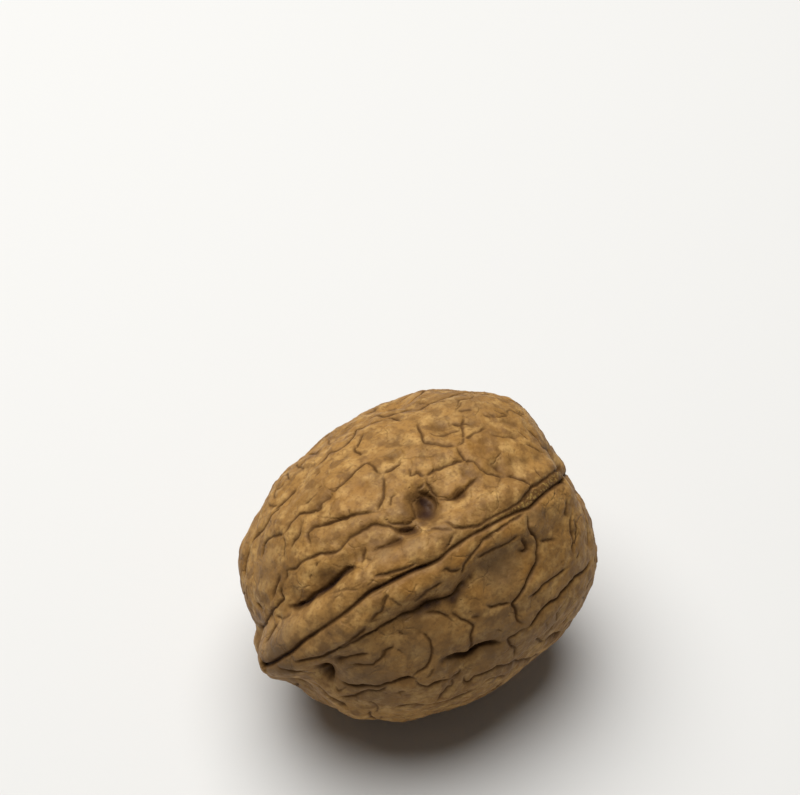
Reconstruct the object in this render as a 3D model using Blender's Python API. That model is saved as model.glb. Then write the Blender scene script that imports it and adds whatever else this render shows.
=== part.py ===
"""A whole walnut in its closed shell, lying on its side on a small flat spot.

One solid. Its long axis runs along X, with the pointed tip at -X and the blunt base at +X.
The seam goes round in a plane through that axis, turned so that it faces up and to the front.
A formula gives the smooth body. A ridge of two lips follows the seam, and drawn lines cut the
furrows and hollows between the pads. Lengths here are in millimetres until the mesh is made.
"""

import math
import random

import bmesh
import bpy
import numpy as np
from mathutils import Vector, noise

METRES = 0.001

# Body, from its widest section: half lengths, half widths and how square its outline is.
TIP_LENGTH = 20.6
BASE_LENGTH = 17.4
SEAM_HALF_WIDTH = 16.7
SIDE_HALF_WIDTH = 16.9
TIP_SQUARENESS = 2.27
BASE_SQUARENESS = 2.85
SEAM_FACES_UP_DEG = 56.9

# Beak at the tip.
BEAK_HEIGHT = 2.65
BEAK_SPREAD_ALONG_SEAM_DEG = 15.0
BEAK_SPREAD_ACROSS_DEG = 7.5
BEAK_ACROSS_DEG = 1.8
BEAK_FALLOFF = 1.6

# Seam ridge: how high it stands at each angle round the seam from the tip, and its lips and groove.
RIDGE_HEIGHTS = {0: 0.4, 18: 1.1, 60: 1.15, 95: 0.8, 125: 0.5, 150: -0.15, 180: 0.2, 225: 0.5, 270: 0.8,
                 340: 0.95, 360: 0.4}
LIP_FOOT = 3.8
LIP_SHOULDER = 2.0
GROOVE_WIDTH = 0.38
GROOVE_DEPTH = 0.6
FAR_SEAM_POINTS = 130
FAR_SEAM_WANDER_DEG = 1.3
FAR_SEAM_WAVES = 9

# Pads sink this much towards the furrows, from this far away.
PAD_SINK = 0.24
PAD_REACH = 1.25
LINE_REACH = 4.0

# Uneven lumps all over.
LUMP_SPACING = 5.5
LUMP_HEIGHT = 0.55

# Flat spot that the nut rests on.
REST_DEPTH = 0.22
REST_CENTRE = -0.4
REST_RADIUS = 3.3
REST_EDGE = 1.6
REST_LEVELLED = 0.011

# Viewpoint that the lines below were drawn from. They lie on a plane through the body's centre.
DRAWN_AZIMUTH_DEG = -40.84
DRAWN_ELEVATION_DEG = 53.33
DRAWN_DISTANCE = 300.0
DRAWN_STEP = 0.4
SIGHT_STEPS = 60
SIGHT_HALVINGS = 24

# Furrows on the sides that the drawing doesn't reach: cells with this spacing, drawn out lengthwise.
CELL_SEED = 7
CELL_SPACING = 0.255
CELL_TRIES = 6000
CELL_STRETCH = 1.3
CELLS_BEYOND = 0.46
CELL_EDGES_LEFT_OUT = 0.16
CELL_EDGES_DEEP = 0.15
CELL_EDGE_BOW = 0.22
CELL_EDGE_PIECES = 6
CELL_SEAM_GAP = 2.2
CELL_DRAWN_GAP = 1.3
LIP_LINE_GAP = 3.1
LIP_LINE_WAVER = 0.8
LIP_LINE_WAVES = 31
LIP_LINE_PIECES = 9

PAIRS_AT_ONCE = 300000
FINE_SUBDIVISIONS = 7
KEPT_TRIANGLES = 9800

SHELL_COLOUR = (0.40, 0.235, 0.105, 1.0)
SHELL_ROUGHNESS = 0.58

# Seam groove, from the tip to the base. In every line a point is (right, up) on the drawn plane.
SEAM = [(-18.1, -13.0), (-17.1, -12.75), (-15.9, -12.0), (-13.65, -10.3), (-12.0, -9.15), (-9.95, -7.75),
        (-8.1, -6.35), (-6.1, -4.6), (-4.5, -3.75), (-2.9, -2.9), (-1.15, -2.0), (1.7, -0.75), (3.8, 0.95),
        (6.7, 2.7), (9.25, 4.1), (12.05, 5.3), (14.1, 7.2), (15.75, 8.4)]

HOLLOWS = [
    # Along the upper lip and under the lower one
    [(-7.1, -1.7), (-9.0, -2.3), (-11.0, -4.0), (-12.9, -5.5), (-14.4, -6.3), (-15.6, -6.4)],
    [(-9.7, -11.15), (-8.2, -10.3), (-6.8, -9.6), (-5.4, -8.85), (-4.25, -8.15), (-2.8, -7.2), (-1.4, -6.75),
     (-0.6, -6.65), (0.3, -5.9), (1.6, -5.3), (3.1, -4.85), (4.0, -3.9), (5.0, -3.0)],
    # Round the pit at the middle and below the long pad
    [(-0.5, 4.5), (0.0, 3.3)],
    [(-0.3, 6.1), (0.8, 5.2)],
    [(1.5, 6.05), (2.65, 6.05), (4.2, 6.75), (5.5, 8.05), (6.2, 8.6)],
    # Crescent on the lower side, and the pocket between beak and body
    [(1.95, -12.85), (2.6, -11.95), (3.7, -11.75), (5.6, -11.3), (6.4, -10.5), (7.8, -10.1), (9.3, -9.8)],
    [(-18.9, -5.8), (-18.0, -6.5), (-17.6, -7.3), (-18.0, -8.4)],
]

GROOVES = [
    [(-2.75, 2.4), (-1.85, 2.4), (-0.95, 2.4)],
    [(-5.9, 0.05), (-4.3, 0.6), (-2.75, 1.3), (-2.35, 1.6)],
    [(-11.9, -13.2), (-10.7, -13.05), (-10.4, -13.65), (-10.0, -14.5)],
    [(-16.1, -2.3), (-16.7, -4.1), (-17.0, -5.6)],
    [(11.6, 5.1), (13.05, 6.25), (14.1, 7.2), (15.75, 8.4)],
    [(-5.3, 4.5), (-7.4, 4.3), (-8.95, 3.85), (-11.0, 3.2), (-12.5, 2.7), (-13.1, 1.9), (-12.8, 0.5)],
    [(9.1, 8.8), (10.6, 8.6), (12.05, 7.85)],
    [(11.6, 4.7), (12.0, 3.0), (12.85, 1.4), (12.85, -1.15), (12.25, -2.6), (11.35, -4.2), (10.25, -5.75),
     (10.6, -7.4), (11.5, -7.8)],
    [(19.0, -0.5), (18.25, -1.8), (17.0, -2.95), (15.65, -4.5), (14.1, -5.9), (12.5, -7.8), (11.0, -8.6),
     (9.7, -9.8), (10.3, -11.4)],
    [(-9.4, -14.35), (-8.2, -14.95), (-6.5, -15.1), (-4.05, -14.9), (-2.3, -14.25), (-0.5, -14.2)],
    [(-6.2, -8.05), (-6.95, -9.0), (-8.6, -10.3), (-10.1, -11.25), (-11.75, -11.9), (-13.5, -12.4),
     (-14.75, -12.05)],
    [(-16.5, -6.2), (-17.25, -7.2), (-18.3, -8.9)],
]

FURROWS = [
    # Upper left
    [(-12.1, 9.7), (-10.9, 11.0), (-9.0, 12.1), (-7.7, 13.8), (-6.2, 14.4), (-4.5, 15.2)],
    [(-10.6, 6.9), (-9.6, 7.3), (-8.6, 8.4), (-7.2, 9.7), (-6.1, 9.85), (-4.85, 8.75)],
    [(-4.85, 8.75), (-3.4, 9.6), (-2.6, 10.4)],
    [(-4.6, 8.65), (-4.55, 6.8), (-5.0, 5.3), (-5.3, 4.5)],
    [(-7.95, 12.1), (-7.5, 11.2), (-7.0, 10.9)],
    [(-14.4, 7.3), (-15.3, 6.1), (-17.0, 4.6)],
    [(-11.9, 6.8), (-12.5, 6.1), (-13.7, 5.3)],
    [(-2.5, 2.5), (-3.8, 3.0), (-5.95, 3.0), (-8.1, 1.85), (-9.3, 0.5), (-10.95, -0.25), (-12.95, -0.85),
     (-15.0, -2.1), (-15.8, -3.55), (-15.8, -5.4), (-17.4, -7.8)],
    [(-18.25, -1.0), (-17.8, 0.9), (-16.9, 1.6), (-15.7, 2.05), (-14.6, 3.7), (-12.8, 4.5), (-11.3, 5.4)],
    [(-15.7, 1.8), (-15.7, -0.1), (-15.5, -0.9)],
    [(-13.85, 3.1), (-14.2, 1.7), (-15.05, 0.1)],
    [(-16.1, 5.1), (-17.8, 3.1), (-19.15, 1.4), (-19.9, -0.55), (-20.05, -3.2), (-19.95, -4.6)],
    [(-6.5, 0.8), (-6.9, -0.45), (-7.1, -1.5)],
    [(-4.35, 3.6), (-3.0, 3.2), (-1.1, 3.8)],
    [(-12.3, 4.6), (-11.5, 5.5), (-10.3, 6.5)],
    # Top and right
    [(0.2, 8.5), (-0.8, 9.0), (-1.5, 8.7), (-1.8, 9.6)],
    [(0.2, 8.5), (1.55, 9.4), (3.4, 10.2), (4.75, 10.45)],
    [(0.2, 8.5), (0.8, 7.5), (1.5, 6.1)],
    [(0.0, 8.05), (-1.1, 7.1)],
    [(3.65, 12.0), (2.0, 12.15), (0.0, 12.65), (-0.35, 13.5), (-0.8, 14.7)],
    [(3.65, 12.0), (4.3, 12.9), (4.25, 14.4), (4.3, 15.5)],
    [(3.65, 12.0), (4.25, 10.9), (5.4, 10.3), (6.9, 9.15), (9.1, 8.8)],
    [(4.3, 13.0), (5.6, 13.5), (7.0, 14.2)],
    [(7.25, 13.6), (8.7, 13.2), (10.5, 12.95)],
    [(11.4, 14.1), (12.7, 13.0), (14.1, 11.6)],
    [(9.0, 16.35), (10.1, 15.85), (11.3, 15.3)],
    [(-0.6, 17.0), (0.7, 16.9), (2.4, 17.0)],
    [(3.4, 16.4), (3.9, 17.3), (5.1, 17.5)],
    [(12.4, 9.5), (13.25, 8.5)],
    # Edges of the lips and of the strip beside the seam
    [(2.1, 3.5), (3.1, 3.2), (4.2, 2.85), (6.6, 3.4), (9.5, 4.95), (11.5, 6.35), (12.15, 7.7), (14.4, 9.1),
     (15.3, 9.9)],
    [(-16.6, -7.25), (-15.8, -7.5), (-14.8, -6.9)],
    [(-16.2, -8.0), (-17.1, -9.4), (-17.75, -10.3)],
    [(-5.65, -2.4), (-4.75, -2.65), (-3.2, -2.2), (-1.5, -1.6), (-0.5, -1.3)],
    [(0.5, 2.45), (1.6, 2.8), (3.4, 2.55), (3.05, 1.35), (2.1, 0.1)],
    [(8.2, 2.4), (6.8, 1.45), (5.0, -0.75), (4.3, -2.5)],
    [(2.1, -2.1), (3.1, -2.1), (4.3, -1.7)],
    [(2.3, -3.2), (0.95, -4.0), (-0.05, -4.7), (-1.25, -5.75)],
    [(-3.7, -4.6), (-4.45, -5.7), (-4.9, -6.9), (-6.2, -8.05)],
    [(-3.65, -5.1), (-2.75, -5.8), (-2.2, -6.0)],
    [(6.0, -0.55), (7.2, 0.05), (9.0, 0.95), (11.05, 2.2)],
    [(11.0, 2.2), (11.7, 1.0), (10.8, 0.55)],
    # Lower right
    [(13.05, 1.6), (15.05, 1.65)],
    [(10.25, -5.55), (8.6, -5.95), (7.3, -5.85)],
    [(16.3, 6.4), (16.1, 5.7), (15.95, 4.8)],
    [(16.6, 4.7), (16.6, 3.6), (16.9, 1.6), (16.9, 0.15)],
    [(8.3, -8.4), (9.0, -8.6)],
    [(4.85, -14.5), (6.0, -13.7), (8.35, -12.8), (10.2, -12.1), (11.7, -11.9), (13.1, -11.15)],
    [(7.0, -14.5), (8.45, -13.85), (9.35, -13.55)],
    [(16.2, -1.5), (14.0, -3.2), (12.1, -4.8)],
    # Underneath
    [(0.0, -6.75), (2.05, -6.8), (3.15, -7.4)],
    [(3.1, -6.6), (4.4, -7.5), (5.7, -8.4), (5.5, -9.85), (5.4, -11.2)],
    [(-0.35, -9.0), (0.55, -9.55), (1.15, -10.65), (0.7, -12.4), (-0.4, -13.4), (-1.3, -14.05)],
    [(-0.8, -14.3), (0.6, -15.0), (2.3, -14.35), (3.2, -14.1)],
    [(3.2, -14.1), (3.3, -14.85), (2.5, -15.55), (1.8, -16.55)],
    [(3.2, -14.1), (4.2, -13.4), (4.3, -12.9)],
    [(-9.6, -12.05), (-7.3, -11.6), (-5.8, -11.35)],
    [(-8.1, -12.65), (-6.3, -12.65), (-5.05, -12.2), (-4.25, -11.15), (-3.2, -10.2)],
    [(-9.2, -16.25), (-7.5, -16.1), (-5.5, -15.65), (-3.7, -15.0)],
    [(-3.0, -15.7), (-1.7, -15.4)],
    [(-6.4, -16.55), (-5.1, -17.2), (-5.1, -18.0)],
    [(-2.85, -17.3), (-0.8, -17.05), (2.0, -16.8), (4.25, -15.95), (6.0, -15.35)],
    [(-16.7, -13.0), (-14.65, -13.4), (-13.0, -13.3)],
    [(-12.0, -14.8), (-10.6, -16.05), (-8.3, -17.5)],
]

# Widths at the furrow's shoulder and depths of the three kinds of line.
KINDS = {"hollow": (0.75, 0.95), "groove": (0.5, 0.55), "furrow": (0.38, 0.34)}

# Broad dents: the place on the drawn plane, the radius and the depth.
DENTS = [
    ((0.1, 5.2), 1.3, 0.8),
    ((9.0, -1.8), 3.0, 0.55),
    ((8.35, 9.75), 1.1, 0.5),
    ((11.0, 10.8), 1.5, 0.3),
    ((1.2, 14.2), 1.2, 0.35),
    ((4.2, 14.7), 1.2, 0.3),
    ((-3.4, 12.1), 1.3, 0.35),
    ((-3.8, 10.9), 0.9, 0.3),
    ((-9.0, 10.7), 0.7, 0.3),
    ((-7.1, 7.3), 0.8, 0.3),
    ((9.5, 14.8), 1.2, 0.3),
    ((13.9, 4.4), 1.2, 0.4),
    ((-12.0, -3.6), 1.4, 0.35),
    ((-9.2, -12.0), 0.7, 0.4),
    ((8.8, -4.9), 1.0, 0.25),
]

# Swells and flats of the form round the rim of the drawn view: the place, the radius and the height.
RIM = [
    ((10.9, 16.4), 3.4, 0.95),
    ((19.2, 0.2), 4.0, 0.5),
    ((10.4, -13.4), 5.0, 0.3),
    ((-20.6, -2.0), 4.5, 0.8),
    ((-11.0, 14.0), 3.0, 0.35),
    ((15.3, 10.4), 2.0, -1.2),
    ((17.0, 7.6), 2.2, -0.9),
    ((-18.8, -10.2), 2.0, -1.7),
    ((-3.5, 17.2), 2.4, -1.6),
    ((3.0, 18.4), 3.0, -0.4),
    ((-14.2, -15.0), 2.6, -1.3),
]


def unit(vectors):
    return vectors / np.linalg.norm(vectors, axis=-1, keepdims=True)


def axes_of_seam():
    """The long axis, the way the seam faces and the way across the seam."""
    up = math.radians(SEAM_FACES_UP_DEG)
    along = np.array([1.0, 0.0, 0.0])
    facing = np.array([0.0, -math.cos(up), math.sin(up)])
    return along, facing, np.cross(along, facing)


def axes_of_drawing():
    """The drawn plane's right and up, and the way from it to the viewpoint."""
    turn = math.radians(DRAWN_AZIMUTH_DEG)
    lift = math.radians(DRAWN_ELEVATION_DEG)
    right = np.array([math.cos(turn), math.sin(turn), 0.0])
    facing = np.array([math.sin(turn) * math.cos(lift), -math.cos(turn) * math.cos(lift), math.sin(lift)])
    return right, np.cross(facing, right), facing


ALONG, SEAM_SIDE, ACROSS = axes_of_seam()
RIGHT, UP, VIEWER = axes_of_drawing()


def body_radius(directions):
    """Distance from the centre to the smooth body along each unit direction."""
    x = directions @ ALONG
    girth = np.hypot(directions @ SEAM_SIDE / SEAM_HALF_WIDTH, directions @ ACROSS / SIDE_HALF_WIDTH)
    length = np.where(x < 0, TIP_LENGTH, BASE_LENGTH)
    squareness = np.where(x < 0, TIP_SQUARENESS, BASE_SQUARENESS)
    radius = (np.abs(x / length) ** squareness + girth**squareness) ** (-1 / squareness)
    from_tip = np.hypot(
        np.degrees(np.arctan2(directions @ SEAM_SIDE, -x)) / BEAK_SPREAD_ALONG_SEAM_DEG,
        (np.degrees(np.arctan2(directions @ ACROSS, -x)) - BEAK_ACROSS_DEG) / BEAK_SPREAD_ACROSS_DEG,
    )
    return radius + BEAK_HEIGHT * np.exp(-(from_tip**BEAK_FALLOFF))


def seam_angle(directions):
    """Degrees round the seam's plane from the tip, over the side that the seam faces."""
    return np.degrees(np.arctan2(directions @ SEAM_SIDE, -directions @ ALONG)) % 360


def crest_radius(directions):
    """As body_radius, with the height of the seam ridge."""
    return body_radius(directions) + np.interp(
        seam_angle(directions), list(RIDGE_HEIGHTS), list(RIDGE_HEIGHTS.values())
    )


def surface(directions, radius_at):
    return directions * radius_at(directions)[:, None]


def smooth_line(points, step):
    """Points about a step apart on a smooth curve through the given ones."""
    knots = np.array([points[0], *points, points[-1]], float)
    curve = []
    for a, b, c, d in zip(knots, knots[1:], knots[2:], knots[3:]):
        count = max(1, round(float(np.linalg.norm(c - b)) / step))
        for t in np.arange(count) / count:
            curve.append(
                b + ((c - a) * t + (2 * a - 5 * b + 4 * c - d) * t**2 + (3 * b - a - 3 * c + d) * t**3) / 2
            )
    return np.array([*curve, knots[-1]])


def projected(points, radius_at):
    """Drawn points carried along the line of sight to the near side of the surface, or to its rim."""
    points = np.array(points, float)
    start = points[:, :1] * RIGHT + points[:, 1:] * UP
    sight = unit(VIEWER * DRAWN_DISTANCE - start)
    depths = np.linspace(-TIP_LENGTH, TIP_LENGTH, SIGHT_STEPS)
    spots = start[:, None] + depths[:, None] * sight[:, None]
    height = np.linalg.norm(spots, axis=2) / body_radius(unit(spots).reshape(-1, 3)).reshape(len(points), -1)
    near = depths[height.argmin(axis=1)]
    far = np.full(len(points), 1.5 * TIP_LENGTH)
    for _ in range(SIGHT_HALVINGS):
        middle = (near + far) / 2
        spot = start + middle[:, None] * sight
        inside = np.linalg.norm(spot, axis=1) < radius_at(unit(spot))
        near = np.where(inside, middle, near)
        far = np.where(inside, far, middle)
    return start + near[:, None] * sight


def distance_to(line, spots):
    """Distance from each spot to a line through points."""
    start = line[:-1]
    step = np.diff(line, axis=0)
    nearest = []
    for some in np.array_split(spots, len(spots) * len(step) // PAIRS_AT_ONCE + 1):
        away = some[:, None] - start
        share = np.clip((away * step).sum(axis=2) / (step**2).sum(axis=1), 0, 1)
        nearest.append(np.linalg.norm(away - share[:, :, None] * step, axis=2).min(axis=1))
    return np.concatenate(nearest)


def ease(low, high, value):
    """0 below low, 1 above high and a smooth step between."""
    share = np.clip((value - low) / (high - low), 0, 1)
    return share * share * (3 - 2 * share)


def seam_loop():
    """Directions along the seam: as drawn in front, then round the far side back to the tip."""
    front = unit(projected(smooth_line(SEAM, DRAWN_STEP), crest_radius))
    first, last = seam_angle(front[[0, -1]])
    if first < last:
        first += 360
    offset = np.degrees(np.arcsin(front[[0, -1]] @ ACROSS))
    turn = np.linspace(last, first, FAR_SEAM_POINTS)[1:]
    share = (turn - last) / (first - last)
    wander = FAR_SEAM_WANDER_DEG * np.sin(FAR_SEAM_WAVES * np.pi * share) * np.sin(np.pi * share)
    tilt = np.radians(offset[1] + (offset[0] - offset[1]) * share + wander)
    turn = np.radians(turn)
    in_plane = np.sin(turn)[:, None] * SEAM_SIDE - np.cos(turn)[:, None] * ALONG
    return np.concatenate([front, np.cos(tilt)[:, None] * in_plane + np.sin(tilt)[:, None] * ACROSS])


SEAM_LOOP = seam_loop()


def seam_distance(directions):
    return distance_to(surface(SEAM_LOOP, body_radius), surface(directions, body_radius))


RIM_PLACES = [surface(unit(projected([place], body_radius)), body_radius) for place, _, _ in RIM]


def form_radius(directions):
    """The body with its seam ridge, rim and lumps, before any furrow."""
    body = body_radius(directions)
    spots = surface(directions, body_radius)
    on_ridge = 1 - ease(LIP_SHOULDER, LIP_FOOT, seam_distance(directions))
    radius = body + (crest_radius(directions) - body) * on_ridge
    for centre, (_, reach, height) in zip(RIM_PLACES, RIM):
        radius += height * np.exp(-((np.linalg.norm(spots - centre, axis=1) / reach) ** 2))
    return radius + LUMP_HEIGHT * np.array([noise.noise(Vector(spot / LUMP_SPACING)) for spot in spots])


def bowed(start, end, bow):
    """Directions from one to the other along an arc that bows sideways."""
    share = np.linspace(0, 1, CELL_EDGE_PIECES)[:, None]
    sideways = np.cross(start, end) * bow
    return unit(start * (1 - share) + end * share + sideways * 4 * share * (1 - share))


def scattered(rng):
    """Directions spaced evenly at random, further apart along the nut than across it."""
    kept = np.empty((0, 3))
    for _ in range(CELL_TRIES):
        spot = unit(np.array([rng.gauss(0, 1) for _ in range(3)]))
        if len(kept) == 0 or np.linalg.norm(kept - spot, axis=1).min() > CELL_SPACING:
            kept = np.vstack([kept, spot])
    return kept


def cell_lines(drawn):
    """Edges of a net of cells, clear of the drawn spots and of the seam, as deep and plain lines."""
    rng = random.Random(CELL_SEED)
    net = bmesh.new()
    for spot in scattered(rng):
        net.verts.new(spot)
    bmesh.ops.convex_hull(net, input=net.verts)
    bmesh.ops.triangulate(net, faces=net.faces)
    deep, plain = [], []
    for edge in net.edges:
        start, end = unit(np.array([face.normal for face in edge.link_faces]) * (CELL_STRETCH, 1, 1))
        left_out = rng.random() < CELL_EDGES_LEFT_OUT
        kind = deep if rng.random() < CELL_EDGES_DEEP else plain
        line = bowed(start, end, rng.uniform(-1, 1) * CELL_EDGE_BOW)
        if left_out or (line @ VIEWER).max() > CELLS_BEYOND or seam_distance(line).min() < CELL_SEAM_GAP:
            continue
        line = surface(line, form_radius)
        if distance_to(line, drawn).min() > CELL_DRAWN_GAP:
            kind.append(line)
    net.free()
    return deep, plain


def lip_lines():
    """The foot of each lip, in broken lengths, where the drawing doesn't reach it."""
    from_front = np.roll(SEAM_LOOP, -int((SEAM_LOOP @ VIEWER).argmax()), axis=0)
    hidden = from_front[from_front @ VIEWER < CELLS_BEYOND]
    share = np.linspace(0, 1, len(hidden))
    lines = []
    for side in (-1, 1):
        waver = LIP_LINE_WAVER * np.sin(LIP_LINE_WAVES * share + 2 * side) * np.sin(7 * share + side)
        tilt = side * (LIP_LINE_GAP + waver) / body_radius(hidden)
        line = surface(unit(hidden + tilt[:, None] * ACROSS), form_radius)
        lines += [piece[:-2] for piece in np.array_split(line, LIP_LINE_PIECES)]
    return lines


def all_lines():
    """Every furrow's line on the form, with its width and depth."""
    drawn = {
        kind: [projected(smooth_line(points, DRAWN_STEP), form_radius) for points in lines]
        for kind, lines in (("hollow", HOLLOWS), ("groove", GROOVES), ("furrow", FURROWS))
    }
    deep, plain = cell_lines(np.concatenate([line for lines in drawn.values() for line in lines]))
    drawn["groove"] += deep + lip_lines()
    drawn["furrow"] += plain
    return [(line, *KINDS[kind]) for kind, lines in drawn.items() for line in lines]


def relief(directions):
    """How far each spot of the form moves outwards."""
    spots = surface(directions, form_radius)
    cut = np.zeros(len(spots))
    nearest = np.full(len(spots), np.inf)
    for line, width, depth in all_lines():
        middle = line.mean(axis=0)
        reach = np.linalg.norm(line - middle, axis=1).max() + LINE_REACH
        near = np.flatnonzero(np.linalg.norm(spots - middle, axis=1) < reach)
        gap = distance_to(line, spots[near])
        cut[near] = np.maximum(cut[near], depth * np.exp(-((gap / width) ** 2)))
        nearest[near] = np.minimum(nearest[near], gap)
    for place, radius, depth in DENTS:
        away = np.linalg.norm(spots - projected([place], form_radius), axis=1)
        cut += depth * np.exp(-((away / radius) ** 2))
    groove = GROOVE_DEPTH * np.exp(-((seam_distance(directions) / GROOVE_WIDTH) ** 2))
    return -PAD_SINK * np.exp(-((nearest / PAD_REACH) ** 2)) - np.maximum(cut, groove)


def shell_points(directions):
    """Points of the finished surface, with the bottom cut flat and its height at zero."""
    body = body_radius(directions)
    under = np.hypot(directions[:, 0] * body - REST_CENTRE, directions[:, 1] * body)
    plain = (directions[:, 2] < 0) * (1 - ease(REST_RADIUS, REST_RADIUS + REST_EDGE, under))
    radius = body * plain + (form_radius(directions) + relief(directions)) * (1 - plain)
    points = directions * radius[:, None]
    bottom = points[plain > 0.99, 2].min() + REST_DEPTH
    points[:, 2] = np.maximum(points[:, 2] - bottom, 0)
    return points


def write_points(mesh, points):
    mesh.vertices.foreach_set("co", np.ascontiguousarray(points, np.float32).ravel())
    mesh.update()


def read_points(mesh):
    points = np.empty(len(mesh.vertices) * 3, np.float32)
    mesh.vertices.foreach_get("co", points)
    return points.reshape(-1, 3).astype(float)


def fine_shell():
    """The whole surface on an even, fine mesh."""
    mesh = bpy.data.meshes.new("walnut_fine")
    ball = bmesh.new()
    bmesh.ops.create_icosphere(ball, subdivisions=FINE_SUBDIVISIONS, radius=1)
    ball.to_mesh(mesh)
    ball.free()
    write_points(mesh, shell_points(unit(read_points(mesh))) * METRES)
    return mesh


def thinned(mesh):
    """The same surface with fewer triangles, left where it bends most."""
    maker = bpy.data.objects.new("walnut_maker", mesh)
    bpy.context.collection.objects.link(maker)
    decimate = maker.modifiers.new("thin", "DECIMATE")
    decimate.ratio = KEPT_TRIANGLES / len(mesh.polygons)
    decimate.use_collapse_triangulate = True
    depsgraph = bpy.context.evaluated_depsgraph_get()
    thin = bpy.data.meshes.new_from_object(maker.evaluated_get(depsgraph))
    bpy.data.objects.remove(maker)
    bpy.data.meshes.remove(mesh)
    return thin


def stand(mesh):
    """Level the flat spot, and put the origin under the middle of the box."""
    points = read_points(mesh)
    flat = points[:, 2] < REST_LEVELLED * METRES
    points[flat, 2] = 0
    low, high = points.min(axis=0), points.max(axis=0)
    points[:, :2] -= (low + high)[:2] / 2
    write_points(mesh, points)


def shell_material():
    material = bpy.data.materials.new("walnut_shell")
    material.use_nodes = True
    principled = material.node_tree.nodes["Principled BSDF"]
    principled.inputs["Base Color"].default_value = SHELL_COLOUR
    principled.inputs["Roughness"].default_value = SHELL_ROUGHNESS
    principled.inputs["Metallic"].default_value = 0.0
    return material


def walnut():
    mesh = thinned(fine_shell())
    mesh.name = "walnut"
    stand(mesh)
    mesh.shade_smooth()
    mesh.materials.clear()
    mesh.materials.append(shell_material())
    nut = bpy.data.objects.new("walnut", mesh)
    bpy.context.collection.objects.link(nut)
    return nut


def clear_scene():
    for thing in list(bpy.data.objects):
        bpy.data.objects.remove(thing)


clear_scene()
walnut()
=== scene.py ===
import math
import random

import bmesh
import bpy
import numpy as np
from mathutils import Matrix, Vector, noise


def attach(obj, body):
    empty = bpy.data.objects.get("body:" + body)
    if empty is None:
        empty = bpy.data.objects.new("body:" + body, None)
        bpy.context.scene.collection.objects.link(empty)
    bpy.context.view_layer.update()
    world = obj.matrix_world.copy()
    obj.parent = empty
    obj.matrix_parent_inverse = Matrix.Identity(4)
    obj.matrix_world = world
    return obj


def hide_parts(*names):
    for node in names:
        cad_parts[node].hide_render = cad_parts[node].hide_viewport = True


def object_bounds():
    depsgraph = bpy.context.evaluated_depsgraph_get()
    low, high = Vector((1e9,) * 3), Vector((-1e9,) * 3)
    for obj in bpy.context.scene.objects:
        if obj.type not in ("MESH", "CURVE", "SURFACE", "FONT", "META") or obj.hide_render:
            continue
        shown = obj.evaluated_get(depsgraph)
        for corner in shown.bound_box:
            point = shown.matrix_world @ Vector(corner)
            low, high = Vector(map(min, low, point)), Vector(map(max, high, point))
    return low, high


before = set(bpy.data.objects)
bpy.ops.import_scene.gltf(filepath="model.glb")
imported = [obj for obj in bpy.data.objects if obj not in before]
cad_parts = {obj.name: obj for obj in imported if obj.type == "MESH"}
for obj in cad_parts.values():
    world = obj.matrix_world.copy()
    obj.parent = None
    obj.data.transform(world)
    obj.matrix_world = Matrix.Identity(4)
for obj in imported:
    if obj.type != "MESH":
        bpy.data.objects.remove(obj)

cadLow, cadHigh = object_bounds()
mm = 0.001
print("frame loaded, box in mm:", [round((b - a) / mm, 2) for a, b in zip(cadLow, cadHigh)])

# The nut's form. Everything is worked out in millimetres round the nut's middle, with the tip at -X, and
# made metres when the shell is put in its place.
nutForm = {
    "tipLength": 20.6,
    "baseLength": 17.4,
    "seamHalfWidth": 16.7,
    "sideHalfWidth": 16.9,
    "tipSquareness": 2.27,
    "baseSquareness": 2.85,
    "seamFacesUp": 56.9,  # degrees
    "beakHeight": 2.65,
    "beakAlongSeam": 15.0,  # degrees
    "beakAcross": 7.5,  # degrees
    "beakShift": 1.8,  # degrees, towards the lower lip
    "beakFalloff": 1.6,
    # Height of the seam's ridge by the angle round the seam, from the tip over the side that faces up
    "ridge": {
        0: 0.4, 18: 1.1, 60: 1.15, 95: 0.8, 125: 0.5, 150: -0.15, 180: 0.2, 225: 0.5, 270: 0.8, 340: 0.95,
        360: 0.4,
    },
    "lipShoulder": 2.0,
    "lipFoot": 3.8,
    "lumpSize": 5.5,
    "lumpHeight": 0.55,
    "restDepth": 0.22,
    "restCentre": -0.4,
    "restRadius": 3.3,
    "restEdge": 1.6,
    "gridCells": 64,  # along a side of the cube, before the two subdivisions
}

# The side that the camera sees is drawn on a plane through the nut's middle: right and up, in mm.
drawing = {
    "azimuth": -40.84,
    "elevation": 53.33,
    "distance": 300.0,
    "coarseStep": 0.4,
    "fineStep": 0.12,
    "sightSteps": 60,
    "sightHalvings": 24,
    "sightReach": 1.5,  # tip lengths
}

# Swells and flats round the rim: place, radius, height.
rimShapes = [
    ((10.9, 16.4), 3.4, 0.95), ((19.2, 0.2), 4.0, 0.5), ((10.4, -13.4), 5.0, 0.3), ((-20.6, -2.0), 4.5, 0.8),
    ((-11.0, 14.0), 3.0, 0.35), ((15.3, 10.4), 2.0, -1.2), ((17.0, 7.6), 2.2, -0.9),
    ((-18.8, -10.2), 2.0, -1.7), ((-3.5, 17.2), 2.4, -1.6), ((3.0, 18.4), 3.0, -0.4),
    ((-14.2, -15.0), 2.6, -1.3),
]
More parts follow.
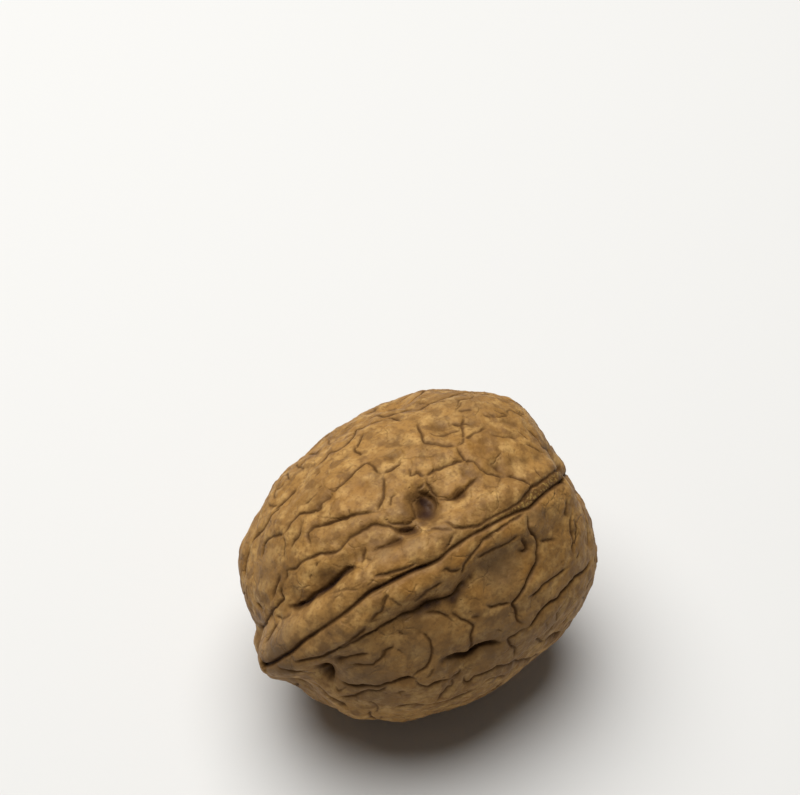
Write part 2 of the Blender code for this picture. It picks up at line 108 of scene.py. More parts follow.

# Dents: place, radius, depth and darkening, which is brown at 1 and black at 2: a brown stain, with painted
# shade in the pits, crevices and hollows, where it runs to black.
dents = [
    # The pit at the middle, the lump on its left and the pocket under it, with painted shade near black in the
    # pit and the pocket
    ((0.1, 6.0), 1.5, 0.9, 1.7), ((0.25, 4.7), 1.4, 0.9, 1.9), ((-0.1, 6.15), 0.7, 0.4, 2.4),
    ((0.75, 5.5), 0.5, 0.2, 2.0), ((0.75, 4.9), 0.5, 0.2, 2.2), ((0.2, 4.4), 0.55, 0.2, 2.0),
    ((-0.55, 4.3), 0.45, 0.2, 1.8), ((-1.5, 6.2), 0.7, 0.15, 1.2), ((-1.95, 4.55), 0.85, -0.35, 0.95),
    ((-0.1, 3.35), 0.4, 0.25, 1.3), ((-2.4, 2.5), 0.6, 0.3, 1.8), ((-1.8, 2.5), 0.65, 0.4, 2.1),
    ((-1.2, 2.5), 0.6, 0.3, 1.8), ((-2.8, 1.3), 0.6, 0.4, 1.8), ((-3.6, 0.9), 0.6, 0.25, 1.3),
    # Along the hollow under the lower lip, darkened with painted shade
    ((1.5, -5.6), 0.7, 0.4, 1.8), ((0.4, -5.9), 0.8, 0.6, 2.1), ((-0.6, -6.5), 0.7, 0.4, 1.7),
    ((-2.1, -6.9), 0.7, 0.3, 1.4), ((2.6, -5.2), 0.6, 0.2, 1.4), ((3.4, -5.3), 0.7, 0.4, 1.8),
    ((3.8, -4.4), 0.7, 0.35, 1.8), ((4.5, -3.5), 0.6, 0.25, 1.6), ((5.3, -2.7), 0.5, 0.2, 1.4),
    # Brown dimples of the top and of the right side, a few darkened with painted shade in small pits and
    # crevices
    ((1.65, 14.3), 1.1, 0.4, 0.9), ((5.4, 14.7), 0.7, 0.3, 0.95), ((3.6, 14.6), 0.5, 0.15, 0.6),
    ((4.15, 16.05), 0.45, 0.2, 0.9), ((-3.1, 12.9), 1.3, 0.3, 0.5), ((-1.85, 12.35), 0.7, 0.25, 0.9),
    ((-3.8, 10.9), 0.8, 0.3, 1.0), ((-3.1, 11.2), 0.5, 0.15, 0.9), ((-0.1, 11.9), 0.7, 0.1, 0.4),
    ((-1.4, 16.3), 0.8, 0.2, 0.5), ((8.3, 9.95), 0.9, 0.45, 0.9), ((8.4, 9.65), 0.3, 0.2, 1.9),
    ((9.8, 10.3), 0.9, 0.25, 0.5), ((11.2, 10.5), 0.7, 0.25, 0.85), ((12.8, 11.0), 0.7, 0.2, 0.5),
    ((14.0, 11.3), 0.6, 0.15, 0.5), ((6.3, 11.5), 0.8, 0.15, 0.5), ((6.9, 12.6), 0.8, 0.15, 0.45),
    ((9.0, 14.9), 0.6, 0.25, 0.85), ((10.0, 14.6), 0.6, 0.25, 0.8), ((4.7, 9.15), 0.6, 0.3, 0.9),
    ((3.6, 6.35), 0.45, 0.25, 1.5), ((4.3, 6.7), 0.55, 0.35, 1.7), ((7.6, 7.6), 1.0, 0.15, 0.4),
    ((13.9, 4.4), 0.9, 0.4, 0.95), ((14.9, 5.1), 0.6, 0.25, 0.7), ((13.1, 3.7), 0.5, 0.15, 0.6),
    ((9.0, -1.8), 3.0, 0.8, 0.35), ((11.2, 0.3), 0.6, 0.2, 0.8), ((8.75, -5.1), 0.6, 0.25, 0.8),
    ((6.1, -7.2), 0.4, 0.1, 0.9), ((13.2, -5.6), 1.5, 0.35, 0.3), ((15.2, 3.0), 1.2, 0.3, 0.3),
    ((17.0, 2.4), 0.7, 0.15, 0.5), ((11.5, -8.7), 0.4, 0.15, 1.0),
    # Brown dimples of the left side
    ((-9.0, 10.7), 0.7, 0.2, 0.6), ((-7.0, 7.6), 0.7, 0.2, 0.6), ((-10.9, 6.1), 0.5, 0.2, 1.0),
    ((-11.9, 5.1), 0.6, 0.15, 0.8), ((-12.8, 4.6), 0.5, 0.1, 0.7), ((-13.8, 3.2), 0.35, 0.15, 1.0),
    ((-12.5, 6.9), 0.6, 0.1, 0.5), ((-11.2, -3.1), 1.5, 0.5, 0.6), ((-8.8, -1.2), 1.0, 0.35, 0.5),
    ((-7.2, -0.6), 0.7, 0.2, 0.6), ((-9.7, 1.1), 0.8, 0.1, 0.4), ((-14.6, -4.6), 0.9, 0.2, 0.6),
    ((-17.6, -5.6), 0.6, 0.2, 1.0), ((-18.4, -7.4), 0.7, 0.1, 1.3),
    # Under the lips and round the tip, darkened with painted shade
    ((-9.4, -11.95), 0.5, 0.35, 1.6), ((-11.5, -13.0), 0.6, 0.45, 1.7), ((-10.7, -13.6), 0.55, 0.4, 1.8),
    ((-10.3, -14.3), 0.4, 0.2, 1.4), ((2.3, -12.2), 0.5, 0.25, 1.5), ((3.3, -12.0), 0.5, 0.25, 1.5),
    ((-0.4, -9.0), 0.3, 0.1, 1.3), ((-17.9, -12.65), 0.5, 0.0, 1.9), ((-17.2, -12.5), 0.4, 0.0, 1.3),
    # Dark ends of the strip in the seam
    ((15.2, 9.6), 0.7, 0.0, 1.4), ((15.5, 8.6), 0.7, 0.0, 1.3), ((14.5, 9.1), 0.4, 0.0, 1.1),
    ((14.8, 7.9), 0.5, 0.0, 1.2), ((13.7, 6.95), 0.4, 0.0, 1.0),
]

# Patches of colour: place, radius, tint and strength. The ochre ones are stains; the grey ones are partly the
# shell's greyer colour and partly painted shade, as on the slope beside the seam's ridge.
tints = [
    ((-3.4, -2.2), 1.8, "ochre", 0.5), ((-1.6, -3.6), 1.5, "ochre", 0.55), ((0.9, -2.6), 1.4, "ochre", 0.55),
    ((4.0, -1.0), 1.5, "ochre", 0.45), ((-7.2, 7.4), 0.8, "ochre", 0.6), ((1.5, -9.0), 2.0, "ochre", 0.4),
    ((11.9, -1.6), 1.2, "ochre", 0.8), ((7.0, 0.6), 1.2, "ochre", 0.5), ((9.5, 2.8), 1.2, "ochre", 0.5),
    ((6.3, -3.9), 1.2, "ochre", 0.5), ((-14.5, 12.4), 3.0, "ochre", 0.5), ((12.8, 6.0), 1.0, "ochre", 0.5),
    ((-9.5, 6.0), 1.6, "ochre", 0.3), ((-3.0, -14.0), 2.4, "ochre", 0.4), ((5.5, 12.2), 1.6, "ochre", 0.35),
    ((-15.5, -9.5), 2.4, "grey", 0.8), ((-14.0, -12.6), 1.6, "grey", 0.6), ((8.6, -1.6), 3.0, "grey", 0.9),
    ((12.5, 4.2), 1.5, "grey", 0.6), ((-4.4, 0.0), 1.4, "grey", 0.8), ((-1.2, 1.2), 1.3, "grey", 0.6),
    ((2.4, 3.0), 1.6, "grey", 0.5), ((-17.8, -2.0), 2.4, "grey", 0.5), ((14.8, -7.2), 2.6, "grey", 0.5),
    ((-6.0, -14.0), 5.0, "grey", 0.85), ((0.5, -11.0), 5.0, "grey", 0.65), ((9.0, -9.5), 5.0, "grey", 0.7),
    ((-10.5, -11.0), 4.0, "grey", 0.5), ((-16.5, -11.8), 3.2, "grey", 1.2), ((2.0, -3.6), 2.0, "grey", 0.4),
    ((-14.2, -14.6), 3.0, "grey", 0.5), ((4.0, 17.4), 3.0, "grey", 0.4), ((-12.0, 12.6), 3.0, "grey", 0.3),
]

# The drawn part of the seam, from the tip to the base.
seamLine = [
    (-18.1, -13.0), (-17.1, -12.75), (-15.9, -12.0), (-14.75, -11.3), (-13.65, -10.3), (-12.0, -9.15),
    (-9.95, -7.75), (-8.1, -6.35), (-6.1, -4.6), (-4.5, -3.75), (-2.9, -2.9), (-1.15, -2.0), (0.4, -1.4),
    (1.7, -0.75), (2.75, 0.2), (3.8, 0.95), (5.2, 1.9), (6.7, 2.7), (7.8, 3.35), (9.25, 4.1), (10.85, 4.85),
    (12.05, 5.3), (13.05, 6.25), (14.1, 7.2), (15.75, 8.4),
]

# Folds beside the lips, round the pit and under the belly, painted nearly black with shade.
hollowLines = [
    [(-7.1, -1.7), (-8.0, -1.9), (-9.0, -2.3), (-10.0, -3.1), (-11.0, -4.0), (-12.0, -4.8), (-12.9, -5.5),
     (-13.6, -6.0), (-14.4, -6.3), (-15.6, -6.4)],
    [(1.95, -12.5), (2.6, -12.0), (3.3, -11.85), (4.1, -11.85), (4.8, -11.7), (5.4, -11.45), (5.85, -11.1),
     (6.25, -10.7), (7.25, -10.3), (8.1, -10.2), (8.75, -10.1), (9.5, -9.75)],
    [(-11.9, -13.2), (-11.3, -13.0), (-10.7, -13.05), (-10.4, -13.65), (-10.0, -14.5)],
]

# Strong furrows.
grooveLines = [
    [(-1.3, 7.2), (-0.8, 7.05), (-0.25, 6.95), (0.35, 6.85), (0.85, 6.5), (1.25, 5.9), (1.3, 5.3),
     (1.1, 4.6)],
    [(-18.9, -5.8), (-18.2, -6.4), (-17.9, -7.0)],
    [(-14.3, -14.15), (-13.6, -14.3), (-12.9, -14.65)],
    [(10.9, 5.95), (11.8, 7.05), (12.2, 7.6), (13.2, 8.1), (14.1, 8.8), (14.6, 9.25), (15.3, 9.7)],
    [(-3.4, 2.7), (-2.75, 2.4), (-1.85, 2.4), (-0.95, 2.5)],
    [(-5.9, 0.05), (-5.1, 0.4), (-4.3, 0.6), (-3.6, 1.0), (-2.75, 1.3), (-2.1, 1.7)],
    [(-9.7, -11.15), (-8.9, -10.75), (-8.2, -10.3), (-7.55, -10.0), (-6.8, -9.6), (-6.1, -9.15),
     (-5.4, -8.85), (-4.75, -8.45), (-4.25, -8.15), (-3.55, -7.7), (-2.8, -7.2), (-2.1, -6.85), (-1.4, -6.75),
     (-0.6, -6.65), (0.3, -5.9), (0.8, -5.6), (1.6, -5.3), (2.5, -5.1), (3.1, -4.85), (3.7, -4.5),
     (4.0, -3.9), (4.4, -3.4), (5.0, -3.0)],
    [(1.5, 6.05), (2.65, 6.05), (3.5, 6.3), (4.2, 6.75), (4.8, 7.35), (5.5, 8.05), (6.2, 8.6)],
    [(-5.3, 4.5), (-6.4, 4.45), (-7.4, 4.3), (-8.45, 4.15), (-8.95, 3.85), (-10.0, 3.5), (-11.0, 3.2),
     (-12.0, 2.9), (-12.5, 2.7), (-12.8, 2.4), (-13.1, 1.9), (-12.9, 1.1), (-12.8, 0.5)],
    [(9.1, 8.8), (10.0, 8.75), (10.6, 8.6), (11.1, 8.35), (11.65, 8.1), (12.05, 7.85), (12.5, 7.5)],
    [(11.6, 4.7), (11.7, 4.2), (11.9, 3.5), (12.0, 3.0), (12.3, 2.5), (12.6, 2.0), (12.85, 1.4),
     (12.95, 0.85), (12.85, 0.15), (12.95, -0.45), (12.85, -1.15), (12.65, -1.7), (12.25, -2.6),
     (11.95, -3.2), (11.65, -3.7), (11.35, -4.2), (11.05, -4.75), (10.55, -5.35), (10.25, -5.75),
     (10.45, -6.4), (10.6, -6.9), (10.6, -7.4), (11.0, -7.7), (11.5, -7.8)],
    [(19.0, -0.5), (18.7, -1.1), (18.25, -1.8), (17.6, -2.3), (17.0, -2.95), (16.5, -3.5), (16.05, -4.0),
     (15.65, -4.5), (15.2, -5.05), (14.6, -5.4), (14.1, -5.9), (13.65, -6.4), (13.0, -7.3), (12.5, -7.8),
     (12.1, -8.15), (11.6, -8.45)],
    [(-9.4, -14.35), (-8.8, -14.65), (-8.2, -14.95), (-7.35, -15.15), (-6.5, -15.1), (-5.7, -15.05),
     (-4.85, -15.0), (-4.05, -14.9), (-3.45, -14.75), (-2.95, -14.45), (-2.3, -14.25), (-1.6, -14.15),
     (-1.0, -14.1), (-0.5, -14.2)],
    [(-6.2, -8.05), (-6.95, -9.0), (-7.75, -9.7), (-8.6, -10.3), (-9.3, -10.8), (-10.1, -11.25),
     (-10.95, -11.65), (-11.75, -11.9), (-12.7, -12.1), (-13.5, -12.4), (-14.2, -12.4), (-14.75, -12.05)],
    [(-16.5, -6.2), (-17.25, -7.2), (-17.85, -8.3), (-18.3, -8.9)],
    [(-16.1, -2.3), (-16.35, -3.1), (-16.7, -4.1), (-16.9, -4.9), (-17.0, -5.6)],
    [(-15.8, -3.55), (-16.0, -4.2), (-16.0, -5.0), (-15.8, -5.4), (-16.2, -6.0), (-16.7, -6.5), (-17.0, -7.0),
     (-17.4, -7.8)],
    [(11.0, 2.2), (11.4, 1.6), (11.7, 1.0), (11.8, 0.5), (11.4, 0.25), (10.8, 0.55)],
    [(-20.05, -3.2), (-20.1, -1.8), (-19.9, -0.55), (-19.5, 0.7)],
]

# Plain furrows.
furrowLines = [
    [(-2.1, 5.75), (-1.5, 5.65), (-1.2, 4.95), (-1.05, 4.15), (-1.5, 3.55), (-2.2, 3.3)],
    [(-4.5, 15.2), (-3.7, 15.25), (-3.0, 15.0), (-2.5, 14.8)],
    [(-6.3, 15.15), (-5.4, 15.4), (-4.6, 15.4), (-3.65, 15.6), (-2.6, 16.0), (-1.95, 16.3), (-1.5, 16.55)],
    [(2.7, 14.75), (3.4, 14.6), (3.9, 14.55), (4.7, 14.75), (5.6, 14.7)],
    [(-7.0, 13.4), (-7.4, 12.4), (-7.8, 11.6)],
    [(6.35, 1.1), (7.1, 1.75), (7.8, 2.3), (8.5, 2.75), (9.2, 3.2), (10.35, 4.0), (11.25, 4.65)],
    [(-13.1, 11.0), (-12.2, 11.1), (-11.6, 11.5)],
    [(-12.1, 9.7), (-10.9, 11.0), (-9.9, 11.5), (-9.0, 12.1), (-8.25, 12.8), (-7.7, 13.8), (-7.0, 14.0),
     (-6.2, 14.4), (-5.3, 14.8), (-4.5, 15.2)],
    [(-10.6, 6.9), (-10.1, 6.9), (-9.6, 7.3), (-9.1, 7.7), (-8.6, 8.4), (-7.9, 9.0), (-7.2, 9.7),
     (-6.5, 10.1), (-6.1, 9.85), (-5.6, 9.3), (-4.85, 8.75)],
    [(-4.85, 8.75), (-4.05, 9.2), (-3.4, 9.6), (-2.9, 9.85), (-2.6, 10.4)],
    [(-4.6, 8.65), (-4.6, 7.7), (-4.55, 6.8), (-4.7, 5.9), (-5.0, 5.3), (-5.3, 4.5)],
    [(-7.95, 12.1), (-7.9, 11.5), (-7.5, 11.2), (-7.0, 10.9)],
    [(-14.4, 7.3), (-15.3, 6.1), (-16.1, 5.4), (-17.0, 4.6)],
    [(-2.5, 2.5), (-2.9, 2.4), (-3.4, 2.7), (-3.8, 3.0), (-4.5, 3.05), (-5.25, 3.1), (-5.95, 3.0),
     (-6.5, 2.6), (-7.4, 2.2), (-8.1, 1.85), (-8.7, 1.2), (-9.3, 0.5), (-9.9, 0.0), (-10.95, -0.25),
     (-11.75, -0.3), (-12.35, -0.5), (-12.95, -0.85), (-13.7, -1.3), (-14.4, -1.9), (-15.0, -2.1),
     (-15.35, -2.25), (-15.5, -2.85), (-15.8, -3.55)],
    [(-15.7, 2.05), (-15.1, 3.0), (-14.6, 3.7), (-14.1, 4.2), (-13.4, 4.3), (-12.8, 4.5), (-12.0, 4.8),
     (-11.3, 5.4)],
    [(-15.7, 2.05), (-16.3, 1.8), (-16.9, 1.6), (-17.5, 1.3), (-17.8, 0.9), (-18.0, 0.2), (-18.2, -0.6),
     (-18.25, -1.0)],
    [(-13.85, 3.1), (-13.9, 2.4), (-14.2, 1.7), (-14.65, 1.2), (-15.0, 0.5), (-15.05, 0.1)],
    [(-16.1, 5.1), (-16.95, 4.3), (-17.8, 3.1), (-18.5, 2.1), (-19.15, 1.4), (-19.5, 0.7)],
    [(-6.5, 0.8), (-6.6, 0.25), (-6.9, -0.45), (-7.0, -1.0), (-7.1, -1.5)],
    [(-4.35, 3.6), (-3.9, 3.5), (-3.5, 3.3), (-3.0, 3.2), (-2.1, 3.3), (-1.4, 3.5), (-1.1, 3.8)],
    [(-12.3, 4.6), (-11.5, 5.5), (-10.8, 6.1), (-10.3, 6.5)],
    [(0.2, 8.5), (-0.4, 8.8), (-0.8, 9.0), (-1.15, 8.8), (-1.5, 8.7), (-1.7, 9.3), (-1.8, 9.6)],
    [(0.2, 8.5), (0.75, 9.0), (1.55, 9.4), (2.15, 9.7), (2.7, 9.95), (3.4, 10.2), (4.1, 10.35),
     (4.75, 10.45)],
    [(0.2, 8.5), (0.4, 7.95), (0.8, 7.5), (1.15, 7.0), (1.45, 6.5), (1.5, 6.1)],
    [(0.0, 8.05), (-0.5, 7.55), (-1.1, 7.1)],
    [(3.65, 12.0), (2.85, 12.1), (2.0, 12.15), (1.3, 12.3), (0.7, 12.5), (0.0, 12.65), (-0.2, 12.9),
     (-0.35, 13.5), (-0.65, 14.1), (-0.8, 14.7)],
    [(3.65, 12.0), (4.15, 12.3), (4.3, 12.9), (4.3, 13.6), (4.25, 14.4), (4.35, 15.0), (4.3, 15.5)],
    [(3.65, 12.0), (3.95, 11.5), (4.25, 10.9), (4.7, 10.45), (5.4, 10.3), (6.0, 9.9), (6.3, 9.5), (6.9, 9.15),
     (7.75, 8.95), (8.4, 8.85), (9.1, 8.8)],
    [(4.3, 13.0), (5.1, 13.1), (5.6, 13.5), (6.5, 13.9), (7.0, 14.2)],
    [(11.4, 14.1), (12.05, 13.7), (12.7, 13.0), (13.1, 12.4), (14.1, 11.6)],
    [(12.4, 9.5), (13.05, 8.8), (13.25, 8.5)],
    [(2.1, 3.5), (2.6, 3.45), (3.1, 3.2), (3.5, 2.9), (4.2, 2.85), (5.1, 2.95), (6.6, 3.4), (8.0, 4.3),
     (9.5, 4.95), (10.4, 5.6), (11.5, 6.35), (11.95, 6.95), (12.15, 7.7), (13.1, 8.2), (13.7, 8.6),
     (14.4, 9.1), (15.3, 9.9)],
    [(-16.2, -8.0), (-16.7, -8.7), (-17.1, -9.4), (-17.4, -9.9), (-17.75, -10.3)],
    [(-5.65, -2.4), (-5.5, -2.75), (-4.75, -2.65), (-4.0, -2.5), (-3.2, -2.2), (-2.35, -1.9), (-1.5, -1.6),
     (-0.9, -1.35), (-0.5, -1.3)],
    [(0.5, 2.45), (1.0, 2.7), (1.6, 2.8), (2.25, 2.7), (2.85, 2.65), (3.4, 2.55)],
    [(3.55, 2.3), (3.35, 1.9), (3.05, 1.35), (2.6, 0.6), (2.1, 0.1)],
    [(8.2, 2.4), (7.9, 2.15), (7.4, 1.85), (6.8, 1.45), (6.4, 0.9), (5.75, 0.1), (5.0, -0.75), (4.6, -1.3),
     (4.4, -2.0), (4.3, -2.5)],
    [(2.1, -2.1), (2.75, -1.85), (3.1, -2.1), (3.85, -1.95), (4.3, -1.7)],
    [(2.3, -3.2), (1.55, -3.6), (0.95, -4.0), (0.35, -4.3), (-0.05, -4.7), (-0.45, -5.1), (-0.85, -5.4),
     (-1.25, -5.75)],
    [(-3.7, -4.6), (-4.0, -4.85), (-4.25, -5.2), (-4.45, -5.7), (-4.6, -6.5), (-4.9, -6.9), (-5.2, -7.0),
     (-5.6, -7.5), (-6.2, -8.05)],
    [(6.0, -0.55), (6.6, -0.25), (7.2, 0.05), (8.0, 0.5), (9.0, 0.95), (9.85, 1.4), (10.35, 1.8),
     (11.05, 2.2)],
    [(13.05, 1.6), (14.05, 1.6), (15.05, 1.65)],
    [(10.25, -5.55), (9.45, -5.75), (8.6, -5.95), (7.8, -6.05), (7.3, -5.85)],
    [(16.3, 6.4), (16.1, 5.7), (15.95, 4.8), (16.4, 4.25)],
    [(16.6, 4.7), (16.6, 3.6), (16.75, 2.6), (16.9, 1.6), (16.8, 0.75), (16.9, 0.15)],
    [(11.6, -8.45), (11.0, -8.6), (10.35, -9.15), (9.95, -9.35), (9.7, -9.8), (10.0, -10.3), (10.3, -10.7),
     (10.3, -11.4)],
    [(4.65, -13.8), (4.85, -14.5), (5.4, -14.35), (6.0, -13.7), (6.9, -13.4), (7.65, -13.1), (8.35, -12.8),
     (9.1, -12.6), (9.8, -12.3), (10.2, -12.1), (11.1, -12.0), (11.7, -11.9), (12.35, -11.5), (13.1, -11.15)],
    [(16.2, -1.5), (15.1, -2.35), (14.0, -3.2), (13.0, -4.35), (12.1, -4.8)],
    [(0.0, -6.75), (1.0, -6.8), (2.05, -6.8), (2.65, -6.95), (3.15, -7.4)],
    [(3.1, -6.6), (3.8, -7.1), (4.4, -7.5), (5.1, -7.7), (5.6, -8.1), (5.7, -8.4), (5.5, -9.0), (5.5, -9.85),
     (5.55, -10.65), (5.4, -11.2)],
    [(-0.35, -9.0), (0.15, -9.15), (0.55, -9.55), (1.0, -10.05), (1.15, -10.65), (1.1, -11.25), (0.9, -11.9),
     (0.7, -12.4), (0.2, -13.0), (-0.4, -13.4), (-0.9, -13.75), (-1.3, -14.05)],
    [(-0.8, -14.3), (-0.45, -14.65), (0.05, -14.9), (0.6, -15.0), (1.1, -14.8), (1.7, -14.55), (2.3, -14.35),
     (3.2, -14.1)],
    [(3.2, -14.1), (3.4, -14.55), (3.3, -14.85), (2.95, -15.0), (2.5, -15.55), (2.1, -16.05), (1.8, -16.55)],
    [(3.2, -14.1), (3.7, -13.7), (4.2, -13.4), (4.3, -12.9)],
    [(-9.6, -12.05), (-8.75, -11.9), (-8.15, -11.7), (-7.3, -11.6), (-5.8, -11.35)],
    [(-8.1, -12.65), (-7.1, -12.7), (-6.3, -12.65), (-5.45, -12.55), (-5.05, -12.2), (-4.65, -11.9),
     (-4.35, -11.6), (-4.25, -11.15), (-3.75, -10.85), (-3.3, -10.55), (-3.2, -10.2)],
    [(-9.2, -16.25), (-8.5, -16.2), (-7.5, -16.1), (-7.0, -15.85), (-6.25, -15.7), (-5.5, -15.65),
     (-4.7, -15.5), (-4.1, -15.25), (-3.7, -15.0)],
    [(-2.85, -17.3), (-1.85, -17.05), (-0.8, -17.05), (0.2, -17.15), (1.2, -17.0), (2.0, -16.8),
     (2.8, -16.55), (3.3, -16.4), (4.25, -15.95), (5.15, -15.65), (6.0, -15.35)],
    [(-16.7, -13.0), (-15.8, -13.25), (-14.65, -13.4), (-13.85, -13.45), (-13.0, -13.3)],
    [(-12.0, -14.8), (-11.3, -15.4), (-10.6, -16.05), (-9.85, -16.5), (-9.0, -17.05), (-8.3, -17.5)],
]

# Thin cracks.
crackLines = [
    [(-4.5, 16.05), (-3.65, 16.15), (-3.1, 16.3)],
    [(3.35, 17.4), (4.3, 17.35), (5.25, 17.5), (5.5, 17.9)],
    [(3.35, 15.95), (3.9, 16.7), (4.2, 17.2)],
    [(0.4, 13.55), (1.6, 13.15), (2.95, 13.65), (4.1, 14.05)],
    [(17.3, 6.2), (17.8, 5.1), (18.15, 4.2), (18.45, 2.3), (18.5, 0.7)],
    [(17.0, 4.2), (17.2, 2.4), (16.9, 0.6)],
    [(-10.7, 7.1), (-10.3, 6.95), (-9.9, 6.95)],
    [(-14.6, 9.4), (-13.8, 9.9), (-13.3, 10.4)],
    [(-12.6, 8.3), (-11.9, 8.9), (-11.5, 9.3)],
    [(-16.9, 6.9), (-16.2, 7.2), (-15.6, 7.9)],
    [(-17.6, 5.1), (-17.0, 5.15), (-16.5, 5.3)],
    [(7.6, 16.2), (8.7, 15.9), (9.5, 15.6)],
    [(10.3, 13.8), (11.2, 13.3), (11.8, 12.7)],
    [(11.2, 12.4), (12.3, 12.0), (13.2, 11.4)],
    [(12.9, 8.9), (13.3, 8.6), (13.4, 8.2)],
    [(-2.95, 6.75), (-3.5, 6.3), (-3.65, 5.7), (-3.7, 4.9)],
    [(-11.9, 6.8), (-12.5, 6.1), (-13.0, 5.6), (-13.7, 5.3)],
    [(-8.6, 4.9), (-8.5, 4.3)],
    [(-15.7, 1.8), (-15.65, 1.2), (-15.7, -0.1), (-15.5, -0.9)],
    [(-18.15, 2.5), (-18.75, 1.7)],
    [(-12.6, -2.5), (-13.0, -3.1)],
    [(-12.0, -1.1), (-12.35, -1.7)],
    [(-6.9, -0.65), (-6.1, -0.8), (-5.7, -1.0)],
    [(7.25, 13.6), (8.15, 13.3), (8.7, 13.2), (9.3, 13.25), (10.0, 13.15), (10.5, 12.95)],
    [(9.0, 16.35), (9.6, 16.1), (10.1, 15.85), (10.8, 15.55), (11.3, 15.3)],
    [(7.1, 15.75), (8.0, 15.4)],
    [(-0.6, 17.0), (-0.1, 16.8), (0.7, 16.9), (1.5, 17.0), (2.4, 17.0)],
    [(3.4, 16.4), (3.6, 16.7), (3.9, 17.3), (4.5, 17.4), (5.1, 17.5)],
    [(3.4, 15.95), (4.1, 16.05), (5.0, 16.2), (5.6, 16.3)],
    [(-7.0, -4.2), (-8.4, -4.2), (-9.4, -4.4), (-10.3, -4.7), (-10.9, -4.95)],
    [(-16.6, -7.25), (-15.8, -7.5), (-15.2, -7.4), (-14.8, -6.9)],
    [(-5.5, -2.8), (-5.8, -3.3), (-6.2, -3.6), (-6.5, -3.7)],
    [(-3.65, -5.1), (-3.2, -5.45), (-2.75, -5.8), (-2.2, -6.0)],
    [(-6.2, -8.05), (-5.5, -7.75), (-4.65, -7.5)],
    [(17.5, 0.6), (17.4, 0.0), (17.1, -0.3)],
    [(8.3, -8.4), (9.0, -8.6)],
    [(7.0, -14.5), (7.8, -14.0), (8.45, -13.85), (9.35, -13.55)],
    [(14.7, -9.55), (15.1, -8.9)],
    [(15.9, -0.7), (15.4, -1.0)],
    [(5.4, -7.15), (6.5, -7.1)],
    [(1.5, -12.75), (1.1, -13.2), (0.85, -13.7), (0.3, -13.9)],
    [(-2.9, -10.75), (-2.4, -11.15), (-2.1, -11.4)],
    [(-2.95, -9.05), (-2.2, -9.1)],
    [(-3.0, -15.7), (-2.4, -15.6), (-1.7, -15.4)],
    [(-6.4, -16.55), (-5.9, -16.65), (-5.4, -16.85), (-5.1, -17.2), (-5.1, -18.0)],
    [(-9.8, -14.95), (-9.5, -15.35), (-9.3, -15.55), (-8.8, -15.35), (-8.3, -15.05)],
    [(-13.8, -14.05), (-13.1, -14.3), (-12.6, -14.7)],
]

# The golden, crumbly strip that fills the seam towards the base.
stripLines = [
    [(3.4, 1.8), (4.2, 2.1), (5.2, 2.5), (6.7, 3.1), (8.0, 3.9), (9.5, 4.6), (10.9, 5.5), (12.0, 6.3),
     (13.1, 7.2), (14.1, 8.0), (15.5, 9.1)],
]

# How the seam goes on round the side that the drawing doesn't reach.
farSeam = {"points": 130, "wander": 1.3, "waves": 9}  # wander in degrees

# Net of furrows on that side, and a finer one of cracks. Gaps and sizes in mm, spacing on a ball of radius 1.
hiddenNet = {
    "kind": "furrow",
    "seed": 7,
    "spacing": 0.255,
    "tries": 6000,
    "stretch": 1.3,  # of the cells, along the nut
    "beyond": 0.46,  # cosine of the angle from the viewpoint
    "leftOut": 0.16,
    "deep": 0.15,
    "bow": 0.22,
    "pieces": 6,
    "seamGap": 2.2,
    "drawnGap": 1.3,
    "waver": 0.35,
    "waverSize": 1.8,
}
hiddenCracks = {
    **hiddenNet, "kind": "crack", "seed": 11, "spacing": 0.16, "leftOut": 0.7, "deep": 0.0, "seamGap": 1.2,
    "drawnGap": 0.6,
}

# Broken furrows at the foot of both lips, on the same side.
lipFoot = {
    "beyond": 0.1,
    "gap": 3.1,
    "waver": 0.8,
    "waves": 31,
    "slowWaves": 7,
    "pieces": 9,
    "break": 2,  # points of the line between two pieces
}

# What each kind of line does to the shell, in mm: width and depth of the cut, reach and sink of the valley
# that it lies in, and how dark it is painted and how wide the dark goes. The dark is the furrows' own brown,
# and painted shade that goes near black in the seam's groove and the hollows.
lineKinds = {
    "seam": {"width": 0.19, "depth": 0.5, "reach": 0.7, "sink": 0.3, "dark": 0.95, "darkWidth": 0.23},
    "strip": {"width": 0.7, "depth": 0.1, "reach": 1.0, "sink": 0.1, "dark": 0.0, "darkWidth": 0.5},
    "hollow": {"width": 0.28, "depth": 0.65, "reach": 1.1, "sink": 0.45, "dark": 1.0, "darkWidth": 0.36},
    "groove": {"width": 0.19, "depth": 0.28, "reach": 0.6, "sink": 0.14, "dark": 0.62, "darkWidth": 0.2},
    "furrow": {"width": 0.16, "depth": 0.17, "reach": 0.5, "sink": 0.09, "dark": 0.5, "darkWidth": 0.2},
    "crack": {"width": 0.13, "depth": 0.1, "reach": 0.4, "sink": 0.04, "dark": 0.4, "darkWidth": 0.16},
}

# How strong a line still is at its ends, and over how many mm it gets there.
lineEnds = {
    "seam": (1.0, 1.0), "strip": (0.5, 1.5), "hollow": (0.0, 2.2), "groove": (0.2, 1.2), "furrow": (0.35, 0.8),
    "crack": (0.2, 0.6),
}

